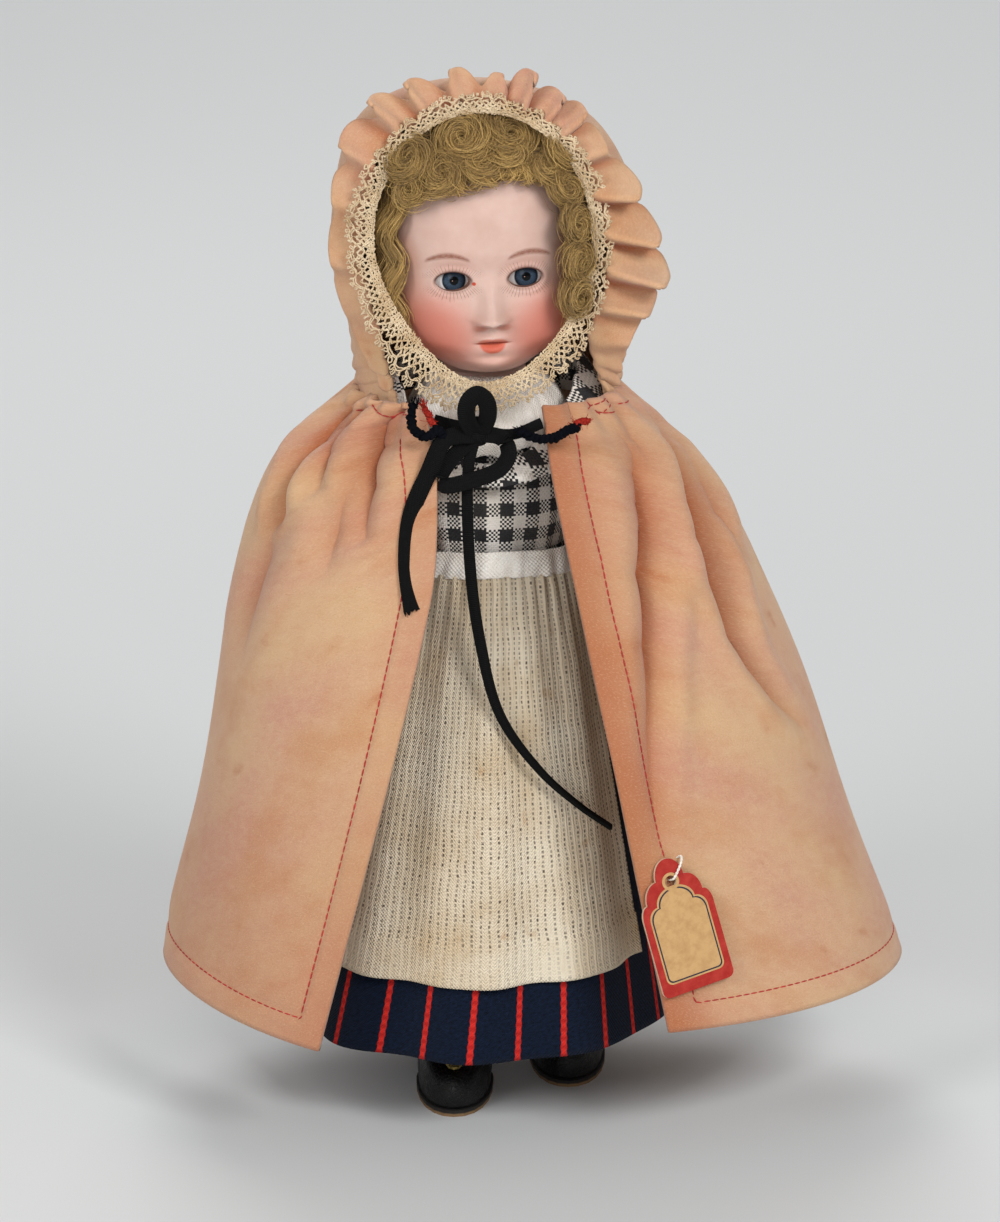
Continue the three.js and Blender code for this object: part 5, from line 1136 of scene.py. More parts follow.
# From the brim to the seam: share of the way, crown (y, z), each side and cheek (x, y, z) to right and left,
# neck angles to right and left, and how far out the corners below the crown stand, as shares of the sides.
hood_stations = (
    (0.0, (1 - hood_brim, hood_top + 3.4),
     (36.6, -15, 213), (41.5, -15, 206), (31.6, -13, 192), (34, -14.5, 190), (46, 74), 0.79, 0.57),
    (drawn_at, (-hood_brim, hood_top - 2.2),
     (29.6, -17.6, 212.5), (28.4, -18, 210), (25.6, -15, 192), (24.6, -15.6, 191), (46, 70), 0.74, 0.65),
    (0.32, (-9, hood_top + 1),
     (35.2, -6, 212.5), (36.4, -6, 209), (31.5, -5, 192), (32.5, -5, 192), (76, 88), 0.79, 0.64),
    (0.58, (9, hood_top - 1.6),
     (35.8, 8, 210.5), (36.2, 8, 209.5), (32.8, 8, 192), (32.8, 8, 192), (110, 112), 0.79, 0.68),
    (0.82, (hood_seam - 8, hood_top - 13),
     (26, 25.2, 206.5), (26, 25.2, 206.5), (25, 22.5, 192), (25, 22.5, 192), (146, 146), 0.79, 0.76),
    (1.0, (hood_seam, hood_top - 38),
     (-0.3, 32.7, 202.5), (-0.3, 32.7, 202.5), (-0.3, 30.2, 191), (-0.3, 30.2, 191), (180.5, 180.5),
     0.79, 0.79),
)
mirror = np.array([-1, 1, 1])
hood_rows = []
for share, top, right, left, right_low, left_low, neck, *corners in hood_stations:
    feet = [on_ring(s * math.radians(a), hood_edge, 30.4, 30.4, 25.9, 24.4) for s, a in zip((-1, 1), neck)]
    crown = np.array([0.0, *top])
    right, left, right_low, left_low = right * mirror, np.array(left), right_low * mirror, np.array(left_low)
    lifts = [np.array([out, 0.5, 0.24]) for out in corners]
    right_high, left_high = (p * lift + crown * (1 - lift) for p, lift in zip((right, left), lifts))
    hood_rows.append((share, *feet[0], *right_low, *right, *right_high, *crown,
                      *left_high, *left, *left_low, *feet[1]))
hood_shape = through(hood_rows)


def spline(knots, t):
    """A smooth line through points, not pulled out of shape where they stand unevenly."""
    knots = np.asarray(knots, float)
    ends = np.vstack([2 * knots[0] - knots[1], knots, 2 * knots[-1] - knots[-2]])
    place = np.clip(np.asarray(t, float), 0, 1) * (len(knots) - 1)
    k = np.minimum(place.astype(int), len(knots) - 2)
    w = (place - k)[:, None]
    p0, p1, p2, p3 = (ends[k + n] for n in range(4))
    d0, d1, d2 = (np.maximum(np.linalg.norm(b - a, axis=-1, keepdims=True) ** 0.5, 1e-4)
                  for a, b in ((p0, p1), (p1, p2), (p2, p3)))
    m1 = ((p1 - p0) / d0 - (p2 - p0) / (d0 + d1) + (p2 - p1) / d1) * d1
    m2 = ((p2 - p1) / d1 - (p3 - p1) / (d1 + d2) + (p3 - p2) / d2) * d1
    return p1 + m1 * w + (3 * (p2 - p1) - 2 * m1 - m2) * w ** 2 + (2 * (p1 - p2) + m1 + m2) * w ** 3


# Each roll of the frill: its crest's place along the brim, how far it stands out and how far it rolls ahead.
frill_rolls = (
    (0.0, 0.0, 0.0), (0.09, 0.05, 0.1), (0.17, 0.12, 0.3), (0.24, 0.2, 0.4), (0.298, 0.3, 0.5),
    (0.349, 0.9, 0.8), (0.396, 1.1, 1.1), (0.435, 1.0, 0.9), (0.472, 1.2, 1.3), (0.512, 0.7, 0.8),
    (0.545, 1.8, 1.6), (0.579, 1.0, 1.1), (0.607, 1.1, 1.2), (0.643, 0.2, 0.7), (0.676, 0.75, 1.5),
    (0.713, 0.55, 1.2), (0.755, 0.7, 1.6), (0.81, 0.3, 0.9), (0.87, 0.1, 0.4), (0.93, 0.0, 0.1),
    (1.0, 0.0, 0.0),
)
roll_phase = through([(roll[0], 2 * math.pi * k) for k, roll in enumerate(frill_rolls)])
roll_size = through(frill_rolls)


def on_hood(u, v):
    """One row of the hood, at shares of the way from the doll's right over the top to its left."""
    standing = np.clip(1 - v / drawn_at, 0, 1) ** 0.7
    phase, (stands, rolls) = roll_phase(u)[0] + 0.35 * np.sin(61 * u), roll_size(u)
    lean = np.tanh((u - 0.5) * 14)
    phase = phase + 0.45 * lean * (1 - np.cos(phase))
    p = spline(hood_shape(v).reshape(9, 3), u + 0.0066 * standing * stands * lean * np.cos(phase - 0.4))
    out = normed(np.stack([p[:, 0], np.zeros(len(u)), p[:, 2] - hood_mid + 4], -1))
    free = soft_step(np.minimum(u, 1 - u), 0.02, 0.16)
    puff = np.exp(-(((v - drawn_at - 0.1) / 0.12) ** 2)) * (0.4 + stands) * free
    past_top = soft_step(u, 0.61, 0.66)
    ahead = np.array([0.0, -1.0, 0.0])
    crest = 1 - 2 * ((1 - np.cos(phase)) / 2) ** (1.6 - 0.7 * past_top)
    roll_out = 2.3 * standing * stands * crest + 0.9 * puff * np.cos(phase + 1.5)
    roll_ahead = (3.0 + 0.8 * past_top) * standing * rolls * lean * np.sin(phase) - 0.5 * puff * np.cos(phase)
    pinch = 0.45 * np.cos(2 * phase + 2) * np.exp(-(((v - drawn_at) / 0.06) ** 2)) * rolls
    slack = np.sin(13 * u + 7 * v) + 0.7 * np.sin(27 * u - 9 * v + 1)
    slack = 0.42 * free * soft_step(v, 0.15, 0.45) * (1 - soft_step(v, 0.85, 1)) * slack
    from_neck = np.minimum(u, 1 - u)
    at_neck = np.exp(-((from_neck / 0.07) ** 2)) * (1 - np.exp(-((from_neck / 0.012) ** 2)))
    tuck = np.where(u < 0.5, 0.6, 1.1) * at_neck * (np.sin(26 * v + 210 * u) + 0.6 * np.sin(47 * v + 1))
    return p + out * (roll_out + pinch + slack + tuck)[:, None] + ahead * roll_ahead[:, None]


u = np.linspace(0, 1, 640)
hood_levels = np.concatenate([np.linspace(0, 0.3, 34, endpoint=False), np.linspace(0.3, 1, 30)])
hood_net = np.array([on_hood(u, v) for v in hood_levels])
hood_map = np.stack(np.meshgrid(u * 215, hood_levels * 84), -1) + np.array([500.0, 0.0])
hood = net_piece("felt_hood", hood_net, felt, flip=True, uv=hood_map)
# Painted shade: the felt darkens in the hollows behind the frill's rolls, most near the drawing thread.
sunk = np.clip(-np.cos(roll_phase(u)[0]), 0, 1) * roll_size(u)[1]
crease_shade = [sunk * (0.25 + 0.75 * swell(v, drawn_at, 0.1)) for v in hood_levels]
mark_points(hood.data, "crease_shade_and_edge_tint", np.clip(crease_shade, 0, 1))
thicken(hood, hood_felt)
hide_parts("hood")
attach(hood, "torso")


# Lace: a hand-made cotton edging with a looped outer edge, an open net and a close footing.
# The footing is tacked to the drawn-up felt, so that the lace frames the face and lies over the collar.

lace_wide, lace_lean, lace_ahead, lace_mid, lace_high = 5.2, -1.5, 19.4, 213.8, 35.0
lace_units, lace_side = 60, 30.6
# Lace cotton: matt, hard-twisted thread, aged to ecru.
lace_cotton = grained("ecru lace cotton", "#b89a72", "#e2cfb0", 1700, 0.00005, 0.9)


def on_lace(a, b):
    """Lace places: a counts units round the face from the top, b goes from the outer edge to the footing."""
    turn = a / lace_units * 2 * math.pi
    low = np.clip(-np.cos(turn), 0, None)
    narrow = lace_wide * (1 - 0.3 * np.clip(np.cos(turn - 0.5), 0, None) + 0.3 * low ** 2
                          + 0.45 * np.clip(np.cos(turn - 3.95), 0, None) ** 4)
    flop = 0.5 * np.sin(9 * turn) + 0.35 * np.sin(23 * turn + 1)
    ragged = (0.5 * np.sin(5 * turn + 2) + 0.4 * np.sin(17 * turn) + 0.3 * np.sin(41 * turn + 1)) * (1 - b)
    reach = lace_side + 1.2 * low * (1 - low) + ragged - narrow * b
    rise = lace_high + 3.2 * low ** 3 + 0.8 * ragged - narrow * b
    deep = lace_ahead + 8.5 * low ** 2 + 0.3 * b + flop * (1 - b) + 0.5 * np.sin(b * math.pi)
    return np.stack([lace_lean + reach * np.sin(turn), -deep, lace_mid + rise * np.cos(turn)], -1)


# Round threads run along lines of points, each as thick as its points say.
round_threads, given = start_tree("round threads", Sides="Int", Colour="Material")
line = put(round_threads, "GeometryNodeMeshToCurve", given["Geometry"])
thick = put(round_threads, "GeometryNodeInputNamedAttribute", {"Name": "thick"}, data_type="FLOAT")
profile = put(round_threads, "GeometryNodeCurvePrimitiveCircle",
              {"Resolution": given["Sides"], "Radius": 1.0})
tube = put(round_threads, "GeometryNodeCurveToMesh",
           {"Curve": line, "Profile Curve": profile, "Scale": thick, "Fill Caps": True})
end_tree(round_threads, tube, given["Colour"])

lace_seed = np.random.default_rng(3)
loop_turn = np.linspace(0, 2 * math.pi, 9)
arc, wave, footing = np.linspace(0, 1, 9), np.linspace(0, 1, 13), np.linspace(0, 1, 7)
lace_runs = [[(t, level - 0.16 * math.sin(math.pi * t)) for t in arc] for level in (0.2, 0.27)]
for middle in (0.2, 0.5, 0.8):
    rise = 0.14 - 0.16 * math.sin(math.pi * middle)
    lace_runs.append([(middle + 0.07 * math.sin(t), rise - 0.05 + 0.075 * math.cos(t)) for t in loop_turn])
for level, shift in ((0.27, 0.0), (0.42, 0.25), (0.57, 0.0)):
    for high, late in ((0.15, 0.0), (0.18, 0.4)):
        lace_runs.append([(t + shift, level + high * abs(math.sin(2 * math.pi * t + late))) for t in wave])
for level in (0.74, 0.82, 0.9, 0.98):
    lace_runs.append([(t, level + 0.015 * math.sin(12 * t)) for t in footing])
for t in (0.0, 0.16, 0.33, 0.5, 0.66, 0.83):
    lace_runs.append([(t, 0.72), (t + 0.06, 0.82), (t - 0.03, 0.91), (t + 0.04, 1.0)])
lace_laid, lace_thick = [], []
for unit in range(lace_units):
    for run in lace_runs:
        run = np.array(run) + lace_seed.normal(0, (0.05, 0.016), (len(run), 2))
        laid = on_lace(unit + run[:, 0], run[:, 1])
        lace_laid.append(laid + lace_seed.normal(0, 0.09, (len(run), 3)))
        lace_thick.append(lace_seed.uniform(0.15, 0.24) / 1000)
lace = run_tree("cotton_lace", lace_laid, round_threads, {"Sides": 5, "Colour": lace_cotton},
                thick=lace_thick)
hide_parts("hood_lace")
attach(lace, "torso")


# Wig: curled blond mohair sewn to a gauze cap and glued over the pate, with pinned whorls above the forehead.
# A waved lock falls beside one cheek and three rolled curls beside the other; all of it turns with the head.

# Mohair: fine lustrous fibre, straw blond at the tips, each strand its own tone; strands further from the head are
# drawn lighter and those in the depth browner, as painted light and shade.
mohair, tree, shader = start_material("blond mohair", Roughness=0.55, Sheen_Weight=0.1,
                                      Specular_IOR_Level=0.3)
tone = put(tree, "Attribute", attribute_name="tone").outputs["Fac"]
where = put(tree, "TexCoord").outputs["Object"]
dust = put(tree, "MapRange", put(tree, "TexNoise", where, 160, 4, 0.55), 0.35, 0.7, 0.0, 0.35)
blond = put(tree, "Mix RGBA", tone, "#54360f", "#e0b96f")
bump = put(tree, "Bump", {"Distance": 0.00008, "Height": put(tree, "TexNoise", where, 2400, 2, 0.55)})
fill(tree, shader, {"Base Color": put(tree, "Mix RGBA", dust, blond, "#97784a"), "Normal": bump})

wig_seed = np.random.default_rng(21)
hairline = through([
    (-180, 0.14), (-95, 0.12), (-72, 0.2), (-58, 0.5), (-48, 0.76), (-30, 0.83), (0, 0.845),
    (10, 0.87), (24, 0.86), (38, 0.76), (50, 0.46), (66, 0.2), (95, 0.12), (180, 0.14),
])
cap_turns = np.linspace(-180, 180, 160, endpoint=False)
cap_net = np.array([on_egg(np.radians(cap_turns), 0.995 + (hairline(cap_turns)[0] - 0.995) * share, 2.2)
                    for share in np.linspace(0, 1, 60)])
wig_cap = net_piece("mohair_wig", from_head(cap_net), mohair, closed=True)
cap_points = len(wig_cap.data.vertices)
# The cap under the strands takes the dark end of the tones, as painted shade in the depth of the hair.
mark_points(wig_cap.data, "tone", wig_seed.uniform(0.0, 0.35, cap_points))
thicken(wig_cap, 1.2)


def whorl(turn, h, radius, rounds, way, count, lift, tilt):
    """A pinned curl: strands that wind inwards in a flat spiral, high at the rim and hollow inside."""
    turn = math.radians(turn)
    place = on_egg(np.array([turn, turn + 0.02, turn]), np.array([h, h, h + 0.01]), 3.0 + 2.2 * tilt)
    across = normed(place[1] - place[0])
    out = normed(np.cross(across, place[2] - place[0]))
    out = out * np.sign(out @ (place[0] - np.array([0, 0, 40])))
    out = normed(out + np.array([0.0, -tilt, 0.0]))
    rise = np.cross(out, across)
    rise *= np.sign(rise[2])
    t = np.linspace(0, 1, 26)[:, None]
    runs = []
    for _ in range(count):
        angle = wig_seed.normal(1.4, 1.5) + way * 2 * math.pi * rounds * wig_seed.uniform(0.45, 1.0) * t
        ring = radius * (1.02 - 0.8 * t ** 0.9) + wig_seed.normal(0, 0.14 * radius) * (1 - 0.5 * t)
        ring = ring + 0.12 * radius * np.sin(2 * angle + wig_seed.uniform(0, 6)) * (1 - t)
        high = lift * np.sin(math.pi * (0.2 + 0.68 * t)) + wig_seed.normal(0, 0.75)
        high = high + 0.5 * np.sin(7 * t + wig_seed.uniform(0, 6))
        middle = place[0] + wig_seed.normal(0, 0.5, 3)
        runs.append(middle + ring * (np.cos(angle) * across + np.sin(angle) * rise) + high * out)
    return runs


def lay_strands(name, runs, thick):
    """Strands of hair along runs of points placed from the neck socket."""
    sizes, tones = [], []
    for run in runs:
        steps = np.arange(len(run))
        taper = np.clip(np.minimum(steps + 1, len(run) - steps) / 3, 0.3, 1)
        sizes.append(wig_seed.uniform(0.7, 1.3) * thick / 1000 * taper)
        # Painted light and shade: a strand is drawn lighter the further it stands out from the head's axis.
        out = np.linalg.norm(run[:, :2], axis=-1)
        tone = wig_seed.normal(0.55, 0.24) + 0.06 * (out - out.mean()) + np.linspace(-0.15, 0.15, len(run))
        tones.append(np.clip(tone, 0, 1))
    placed = [from_head(run) for run in runs]
    piece = run_tree(name, placed, round_threads, {"Sides": 3, "Colour": mohair}, thick=sizes, tone=tones)
    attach(piece, "head")


def loosened(runs, count):
    """Stray hairs that follow short lengths of other strands less closely."""
    strays = []
    for _ in range(count):
        run = runs[wig_seed.integers(len(runs))]
        first = wig_seed.integers(0, len(run) - 8)
        away = np.cumsum(wig_seed.normal(0, 0.2, (8, 3)), axis=0)
        strays.append(run[first:first + 8] + wig_seed.normal(0, 0.75, 3) + away)
    return strays


# Each curl: where it sits on the head, its radius, rounds, way of winding, strands and tilt to the front.
high_curls = (
    (-44, 0.875, 6.2, 1.5, 1, 200, 1.0), (-14, 0.94, 7.0, 1.6, -1, 250, 1.0),
    (22, 0.95, 7.4, 1.6, 1, 260, 1.0), (50, 0.875, 5.8, 1.5, -1, 190, 1.0),
)
low_curls = (
    (-24, 0.815, 5.0, 1.2, 1, 130, 0.0), (-3, 0.85, 4.8, 1.2, -1, 130, 0.0),
    (16, 0.872, 4.6, 1.2, 1, 120, 0.0), (34, 0.82, 4.6, 1.3, -1, 110, 0.0),
    (-39, 0.765, 4.2, 1.2, -1, 100, 0.0), (42, 0.735, 4.3, 1.4, 1, 110, 0.0),
    (43, 0.60, 4.4, 1.5, 1, 140, 0.5), (42, 0.455, 4.7, 1.6, -1, 150, 0.5),
    (42, 0.30, 4.8, 1.6, 1, 160, 0.5),
)
fuzz = []
for name, rows, lift, strays in (
    ("mohair_curls", high_curls, 3.2, 1700),
    ("mohair_side_curls", low_curls, 2.6, 2000),
):
    curls = []
    for *shape, tilt in rows:
        curls += whorl(*shape, lift, tilt)
    lay_strands(name, curls, 0.075)
    fuzz += loosened(curls, strays)

locks = []
clumps, clump_strands = 44, 13
for clump in range(clumps):
    middle = math.radians(-46 + 84 * clump / (clumps - 1))
    bend, lean = wig_seed.uniform(0, 6), wig_seed.uniform(-0.16, 0.16)
    for _ in range(clump_strands):
        t = np.linspace(0, 1, 13)
        turn = middle + wig_seed.normal(0, 0.03) + lean * t + 0.06 * np.sin(5 * t + bend)
        fall = 0.18 - 0.055 * swell(middle, 0.2, 0.35) + wig_seed.normal(0, 0.012)
        h = 0.94 - fall * np.sin(0.5 * math.pi * t * 1.12)
        grow = 2.6 + 3.2 * np.sin(math.pi * t ** 0.8) - 1.6 * t ** 3 + wig_seed.normal(0, 0.45)
        locks.append(on_egg(turn, h, grow))
for side, low, high, count in ((-1, 49, 88, 330), (1, 46, 88, 240)):
    for _ in range(count):
        t = np.linspace(0, 1, 24)
        wave = wig_seed.normal(0, 0.3)
        h = 0.86 - (0.66 + wig_seed.normal(0, 0.04)) * t
        swing = 0.055 * np.sin(5.4 * math.pi * t + wave) - 0.03 * np.sin(math.pi * t)
        turn = side * (math.radians(wig_seed.uniform(low, high)) + swing)
        grow = 2.5 + 1.2 * np.sin(5.4 * math.pi * t + 1.2 + wave) + wig_seed.normal(0.4, 0.6)
        locks.append(on_egg(turn, h, grow))
for _ in range(420):
    t = np.linspace(0, 1, 12)
    turn = math.radians(wig_seed.uniform(-125, 125)) + 0.2 * np.sin(3 * t + wig_seed.uniform(0, 6))
    h = 0.985 - 0.36 * t * soft_step(np.abs(turn), 0.3, 1.2) - 0.1 * t
    locks.append(on_egg(turn, h, 3.0 + wig_seed.normal(0, 0.4)))
for _ in range(420):
    t = np.linspace(0, 1, 9)
    turn, start = math.radians(wig_seed.uniform(-80, 75)), wig_seed.uniform(0.86, 0.98)
    stray = 4 + 2.4 * np.sin(math.pi * t) + wig_seed.normal(0.4, 0.6)
    turn = turn + wig_seed.uniform(-0.3, 0.3) * t
    locks.append(on_egg(turn, start - wig_seed.uniform(-0.05, 0.1) * t, stray))
lay_strands("mohair_locks", locks, 0.08)
lay_strands("mohair_fuzz", fuzz, 0.05)
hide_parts("wig")
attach(wig_cap, "head")


# Neck ribbon: narrow black rayon ribbon through the neck of the cape, tied in a small bow with uneven tails.
# The short tail lies over one front of the cape; the long one hangs over the apron and curls at its end.

# Ribbon: closely woven black filament, ribbed across, with a low sheen where it turns to the light.
rib_pitch = 0.45
ribbon_black, tree, shader = start_material("black ribbon", Roughness=0.75, Specular_IOR_Level=0.15)
uv = put(tree, "UVMap", uv_map="cloth")
parts = put(tree, "SeparateXYZ", uv)
rib = put(tree, "Math SINE", put(tree, "Math MULTIPLY", parts.outputs[1], 2 * math.pi / rib_pitch))
worn = put(tree, "TexNoise", put(tree, "Mapping", {"Vector": uv, "Scale": (3.0, 0.4, 1)}), 0.9, 4, 0.7)
black = put(tree, "Mix RGBA", put(tree, "MapRange", worn, 0.4, 0.75), "#020202", "#0a0a0b")
height = put(tree, "Math ADD", put(tree, "Math MULTIPLY", rib, 0.4), worn)
bump = put(tree, "Bump", {"Distance": 0.00012, "Height": height})
fill(tree, shader, {"Base Color": black, "Normal": bump})

knot = np.array([-2.0, -32.5, 172.0])


def ribbon_strip(name, bends, width, fray, curl):
    """A flat strip along a smooth line; each bend gives its place and how its width is turned, in degrees.

    curl is the share of its width that rolls up towards its end."""
    steps, columns = 90, 13
    bends = np.array(bends, float)
    t = np.linspace(0, 1, steps + 1)
    line = spline(bends[:, :3], t)
    turn = np.radians(through([(k / (len(bends) - 1), b[3]) for k, b in enumerate(bends)])(t)[0])
    ahead = normed(np.gradient(line, axis=0))
    level = np.stack([np.cos(turn), 0.3 * np.sin(turn), np.sin(turn)], -1)
    flat = normed(np.cross(ahead, level))
    wide = np.cross(flat, ahead)
    across = np.linspace(-0.5, 0.5, columns)
    kept = width * (1 - curl * soft_step(t, 0.35, 0.95))
    cup = (0.08 * width + 0.5 * (width - kept))[:, None] * (np.cos(2 * math.pi * across) - 1) * 0.5
    net = line[:, None] + (across * kept[:, None])[..., None] * wide[:, None] + cup[..., None] * flat[:, None]
    if fray:
        ragged = np.random.default_rng(8).uniform(-fray, fray, columns)
        net[-1] += ragged[:, None] * ahead[-1]
    run = np.concatenate([[0], np.cumsum(np.linalg.norm(np.diff(line, axis=0), axis=-1))])
    piece = net_piece(name, net, ribbon_black, uv=np.stack(np.meshgrid(across * width, run), -1))
    thicken(piece, 0.3)
    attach(piece, "torso")
    return piece, run[-1]


def by_knot(x, y, z, turn):
    """A bend placed from the middle of the knot."""
    return (knot[0] + x, knot[1] + y, knot[2] + z, turn)


# Each length of the ribbon: its width, the raggedness of its end, the share that rolls up, and its bends.
ribbon_runs = {
    "ribbon_tie_right": (3.4, 0, 0.0, (
        (-12.4, -27.6, 173.2, 90), (-8, -31.0, 172.8, 88), (-2, -32.4, 172.2, 90))),
    "ribbon_tie_left": (2.6, 0, 0.0, (
        (-2, -32.4, 172.2, 90), (6, -32.2, 171.2, 84), (13.0, -29.2, 173.2, 86))),
    "ribbon_top_loop": (4.2, 0, 0.0, (
        by_knot(-0.8, -2.0, -0.2, 0), by_knot(-2.6, -3.6, 4.2, -5), by_knot(-2.2, -4.3, 7.9, -40),
        by_knot(-0.2, -4.4, 9.7, -90), by_knot(1.8, -3.8, 8.1, -140), by_knot(2.3, -2.8, 4.6, -176),
        by_knot(0.8, -1.4, 0.2, -180))),
    "ribbon_low_loop": (3.8, 0, 0.0, (
        by_knot(0.6, -1.0, -0.4, -60), by_knot(5.4, -2.4, -1.0, -62), by_knot(7.2, -3.2, -4.4, -40),
        by_knot(5.2, -4.0, -8.0, -88), by_knot(-0.6, -4.6, -10.4, -96), by_knot(-8.0, -4.6, -11.8, -92),
        by_knot(-8.8, -3.6, -10.2, -84), by_knot(-5.4, -2.4, -5.2, -66), by_knot(-0.4, -1.0, -0.6, -60))),
    "ribbon_short_tail": (4.1, 0.9, 0.0, (
        by_knot(-0.6, -1.4, -0.4, -50), (-9.4, -36.2, 171.0, -48), (-13.7, -36.8, 162.7, -34),
        (-17.6, -38.8, 153.4, -16), (-18.6, -42.2, 142.5, -4), (-17.3, -46.0, 131.8, 4))),
    "ribbon_long_tail": (2.7, 0.3, 0.45, (
        by_knot(-0.6, -1.6, -0.8, 0), (-4.2, -35.4, 164.0, -4), (-4.0, -35.4, 142.0, 2),
        (-1.6, -35.4, 122.2, 14), (3.2, -35.6, 103.8, 36), (12.7, -36.8, 90.4, 50),
        (22.3, -35.2, 81.1, 56), (29.9, -33.4, 75.2, 62))),
}
for name, (width, fray, curl, bends) in ribbon_runs.items():
    strip, length = ribbon_strip(name, bends, width, fray, curl)
    if name == "ribbon_tie_right":
        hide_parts("neck_ribbon")
knot_size, knot_steps = (3.2, 2.4, 3.6), 36
knot_turns = full_turn(knot_steps)
turns, bends = np.meshgrid(knot_turns, np.linspace(0.06, math.pi - 0.06, 22))
wrap = 1 + 0.07 * np.sin(5 * bends + 2 * turns) + 0.05 * np.sin(3 * turns)
round_it = wrap * np.sin(bends)
knot_net = np.stack([round_it * np.cos(turns), round_it * np.sin(turns), -np.cos(bends)], -1) * knot_size
tied_knot = net_piece("ribbon_knot", knot_net + knot, ribbon_black, (20, 9), closed=True)
cap_ends(tied_knot, knot_steps)
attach(tied_knot, "torso")


# Drawstring: a twisted navy and red cord that gathers the neck of the cape.
# Its two frayed ends stick out beside the bow.

# Wool yarn: loosely spun and quite matt, dark in its depth.
drawn_navy = grained("navy wool yarn", "#020308", "#090b13", 2000, 0.0001, 0.95, Specular_IOR_Level=0.1)
drawn_red = grained("red wool yarn", "#7f1d1a", "#b93a2a", 2000, 0.0001, 0.95, Specular_IOR_Level=0.1)
yarn_steps = 60


def yarn(line, plies, radius, rounds, seed):
    """Plies of yarn twisted together along a line, as runs of points."""
    share = np.linspace(0, 1, yarn_steps)
    line = spline(np.array(line, float), share)
    ahead = normed(np.gradient(line, axis=0))
    side = normed(np.cross(ahead, [0.0, -1.0, 0.05]))
    up = np.cross(side, ahead)
    wobble = np.random.default_rng(seed)
    runs = []
    for ply in range(plies):
        turn = 2 * math.pi * (ply / plies + rounds * share)[:, None]
        twisted = line + radius * (np.cos(turn) * side + np.sin(turn) * up)
        runs.append(twisted + wobble.normal(0, 0.13, (yarn_steps, 3)))
    return runs


string_lines = {
    "navy": (((-17.2, -32.6, 178.2), (-17.6, -34.4, 174.8), (-16.4, -36.0, 172.6), (-13.6, -36.4, 171.6),
              (-11.4, -36.0, 173.2), (-10.2, -35.2, 171.4)),
             ((7.8, -33.4, 172.2), (12.0, -34.8, 170.8), (16.0, -36.0, 171.4), (19.0, -36.4, 173.2),
              (21.6, -35.6, 173.8))),
    "red": (((-14.4, -33.4, 177.6), (-13.2, -35.0, 175.8), (-12.6, -35.4, 174.4)),
            ((20.6, -36.0, 174.6), (22.4, -35.4, 175.2), (23.8, -34.6, 174.8))),
}
fray_seed = np.random.default_rng(14)
plies, end_fibres, stray_fibres = 2, 14, 36
for colour, made, radius, rounds in (("navy", drawn_navy, 0.62, 7), ("red", drawn_red, 0.4, 3)):
    cord_runs, cord_thick = [], []
    for seed, line in enumerate(string_lines[colour]):
        runs = yarn(line, plies, radius, rounds, seed)
        thick = [radius * 1.05] * plies
        for end, inner in ((0, 4), (-1, -5)):
            tip = np.mean([run[end] for run in runs], axis=0)
            aim = normed(tip - np.mean([run[inner] for run in runs], axis=0))
            for _ in range(end_fibres):
                fibre = aim * fray_seed.uniform(0.6, 2.4) + fray_seed.normal(0, 0.7, 3)
                strand = tip - 0.3 * fibre + np.linspace(0, 1, 6)[:, None] * fibre
                runs.append(strand + fray_seed.normal(0, 0.08, (6, 3)))
                thick.append(0.11)
        for _ in range(stray_fibres):
            place = runs[fray_seed.integers(plies)][fray_seed.integers(yarn_steps)]
            fibre = fray_seed.normal(0, 0.75, 3)
            runs.append(place + np.linspace(0, 1, 5)[:, None] * fibre + fray_seed.normal(0, 0.08, (5, 3)))
            thick.append(0.055)
        cord_runs += runs
        cord_thick += [size / 1000 for size in thick]
    cord = run_tree(f"drawstring_{colour}", cord_runs, round_threads, {"Sides": 7, "Colour": made},
                    thick=cord_thick)
    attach(cord, "torso")


# Swing tag: a die-cut card printed red, with a bare cream panel in a dark line and a cream ring at the hole.
# It hangs on a short loop of white thread from the front of the cape, and swings about its hole.

tag_hinge = next(joint for joint in frame["joints"] if joint["name"] == "tag_swing")
tag_out = normed(tag_hinge["axis"])
tag_up = normed(np.array([0, 0, 1.0]) - tag_out * tag_out[2])
tag_axes = np.array([np.cross(tag_up, tag_out), tag_up, tag_out])
tag_hole_at = np.array(tag_hinge["pos_m"]) * 1000 - stand
tag_hang, tag_card, tag_hole = math.radians(12.5), 0.9, 1.45
tag_half, tag_foot = 9.2, -26.4


def on_tag(x, y, z, hang=tag_hang):
    """Millimetres across, up and out from the hole, on the hanging card."""
    across = x * math.cos(hang) - y * math.sin(hang)
    up = x * math.sin(hang) + y * math.cos(hang)
    return tag_hole_at + np.stack(np.broadcast_arrays(across, up, z), -1) @ tag_axes


def stepped_outline(head, steps, half, foot, corner):
    """An outline, clockwise from its top: round head, stepped shoulders, straight sides, round corners."""
    quarter = np.linspace(0, math.pi / 2, 12)
    line = [(head[0] * math.sin(a), head[1] + (head[2] - head[1]) * math.cos(a)) for a in quarter]
    start = (head[0], head[1])
    for x, y in steps:
        line += [(start[0] + (x - start[0]) * math.sin(a), y + (start[1] - y) * math.cos(a)) for a in quarter]
        start = (x, y)
    line += [(half - corner + corner * math.cos(a), foot + corner - corner * math.sin(a)) for a in quarter]
    return np.array(line + [(-x, y) for x, y in line[::-1]])


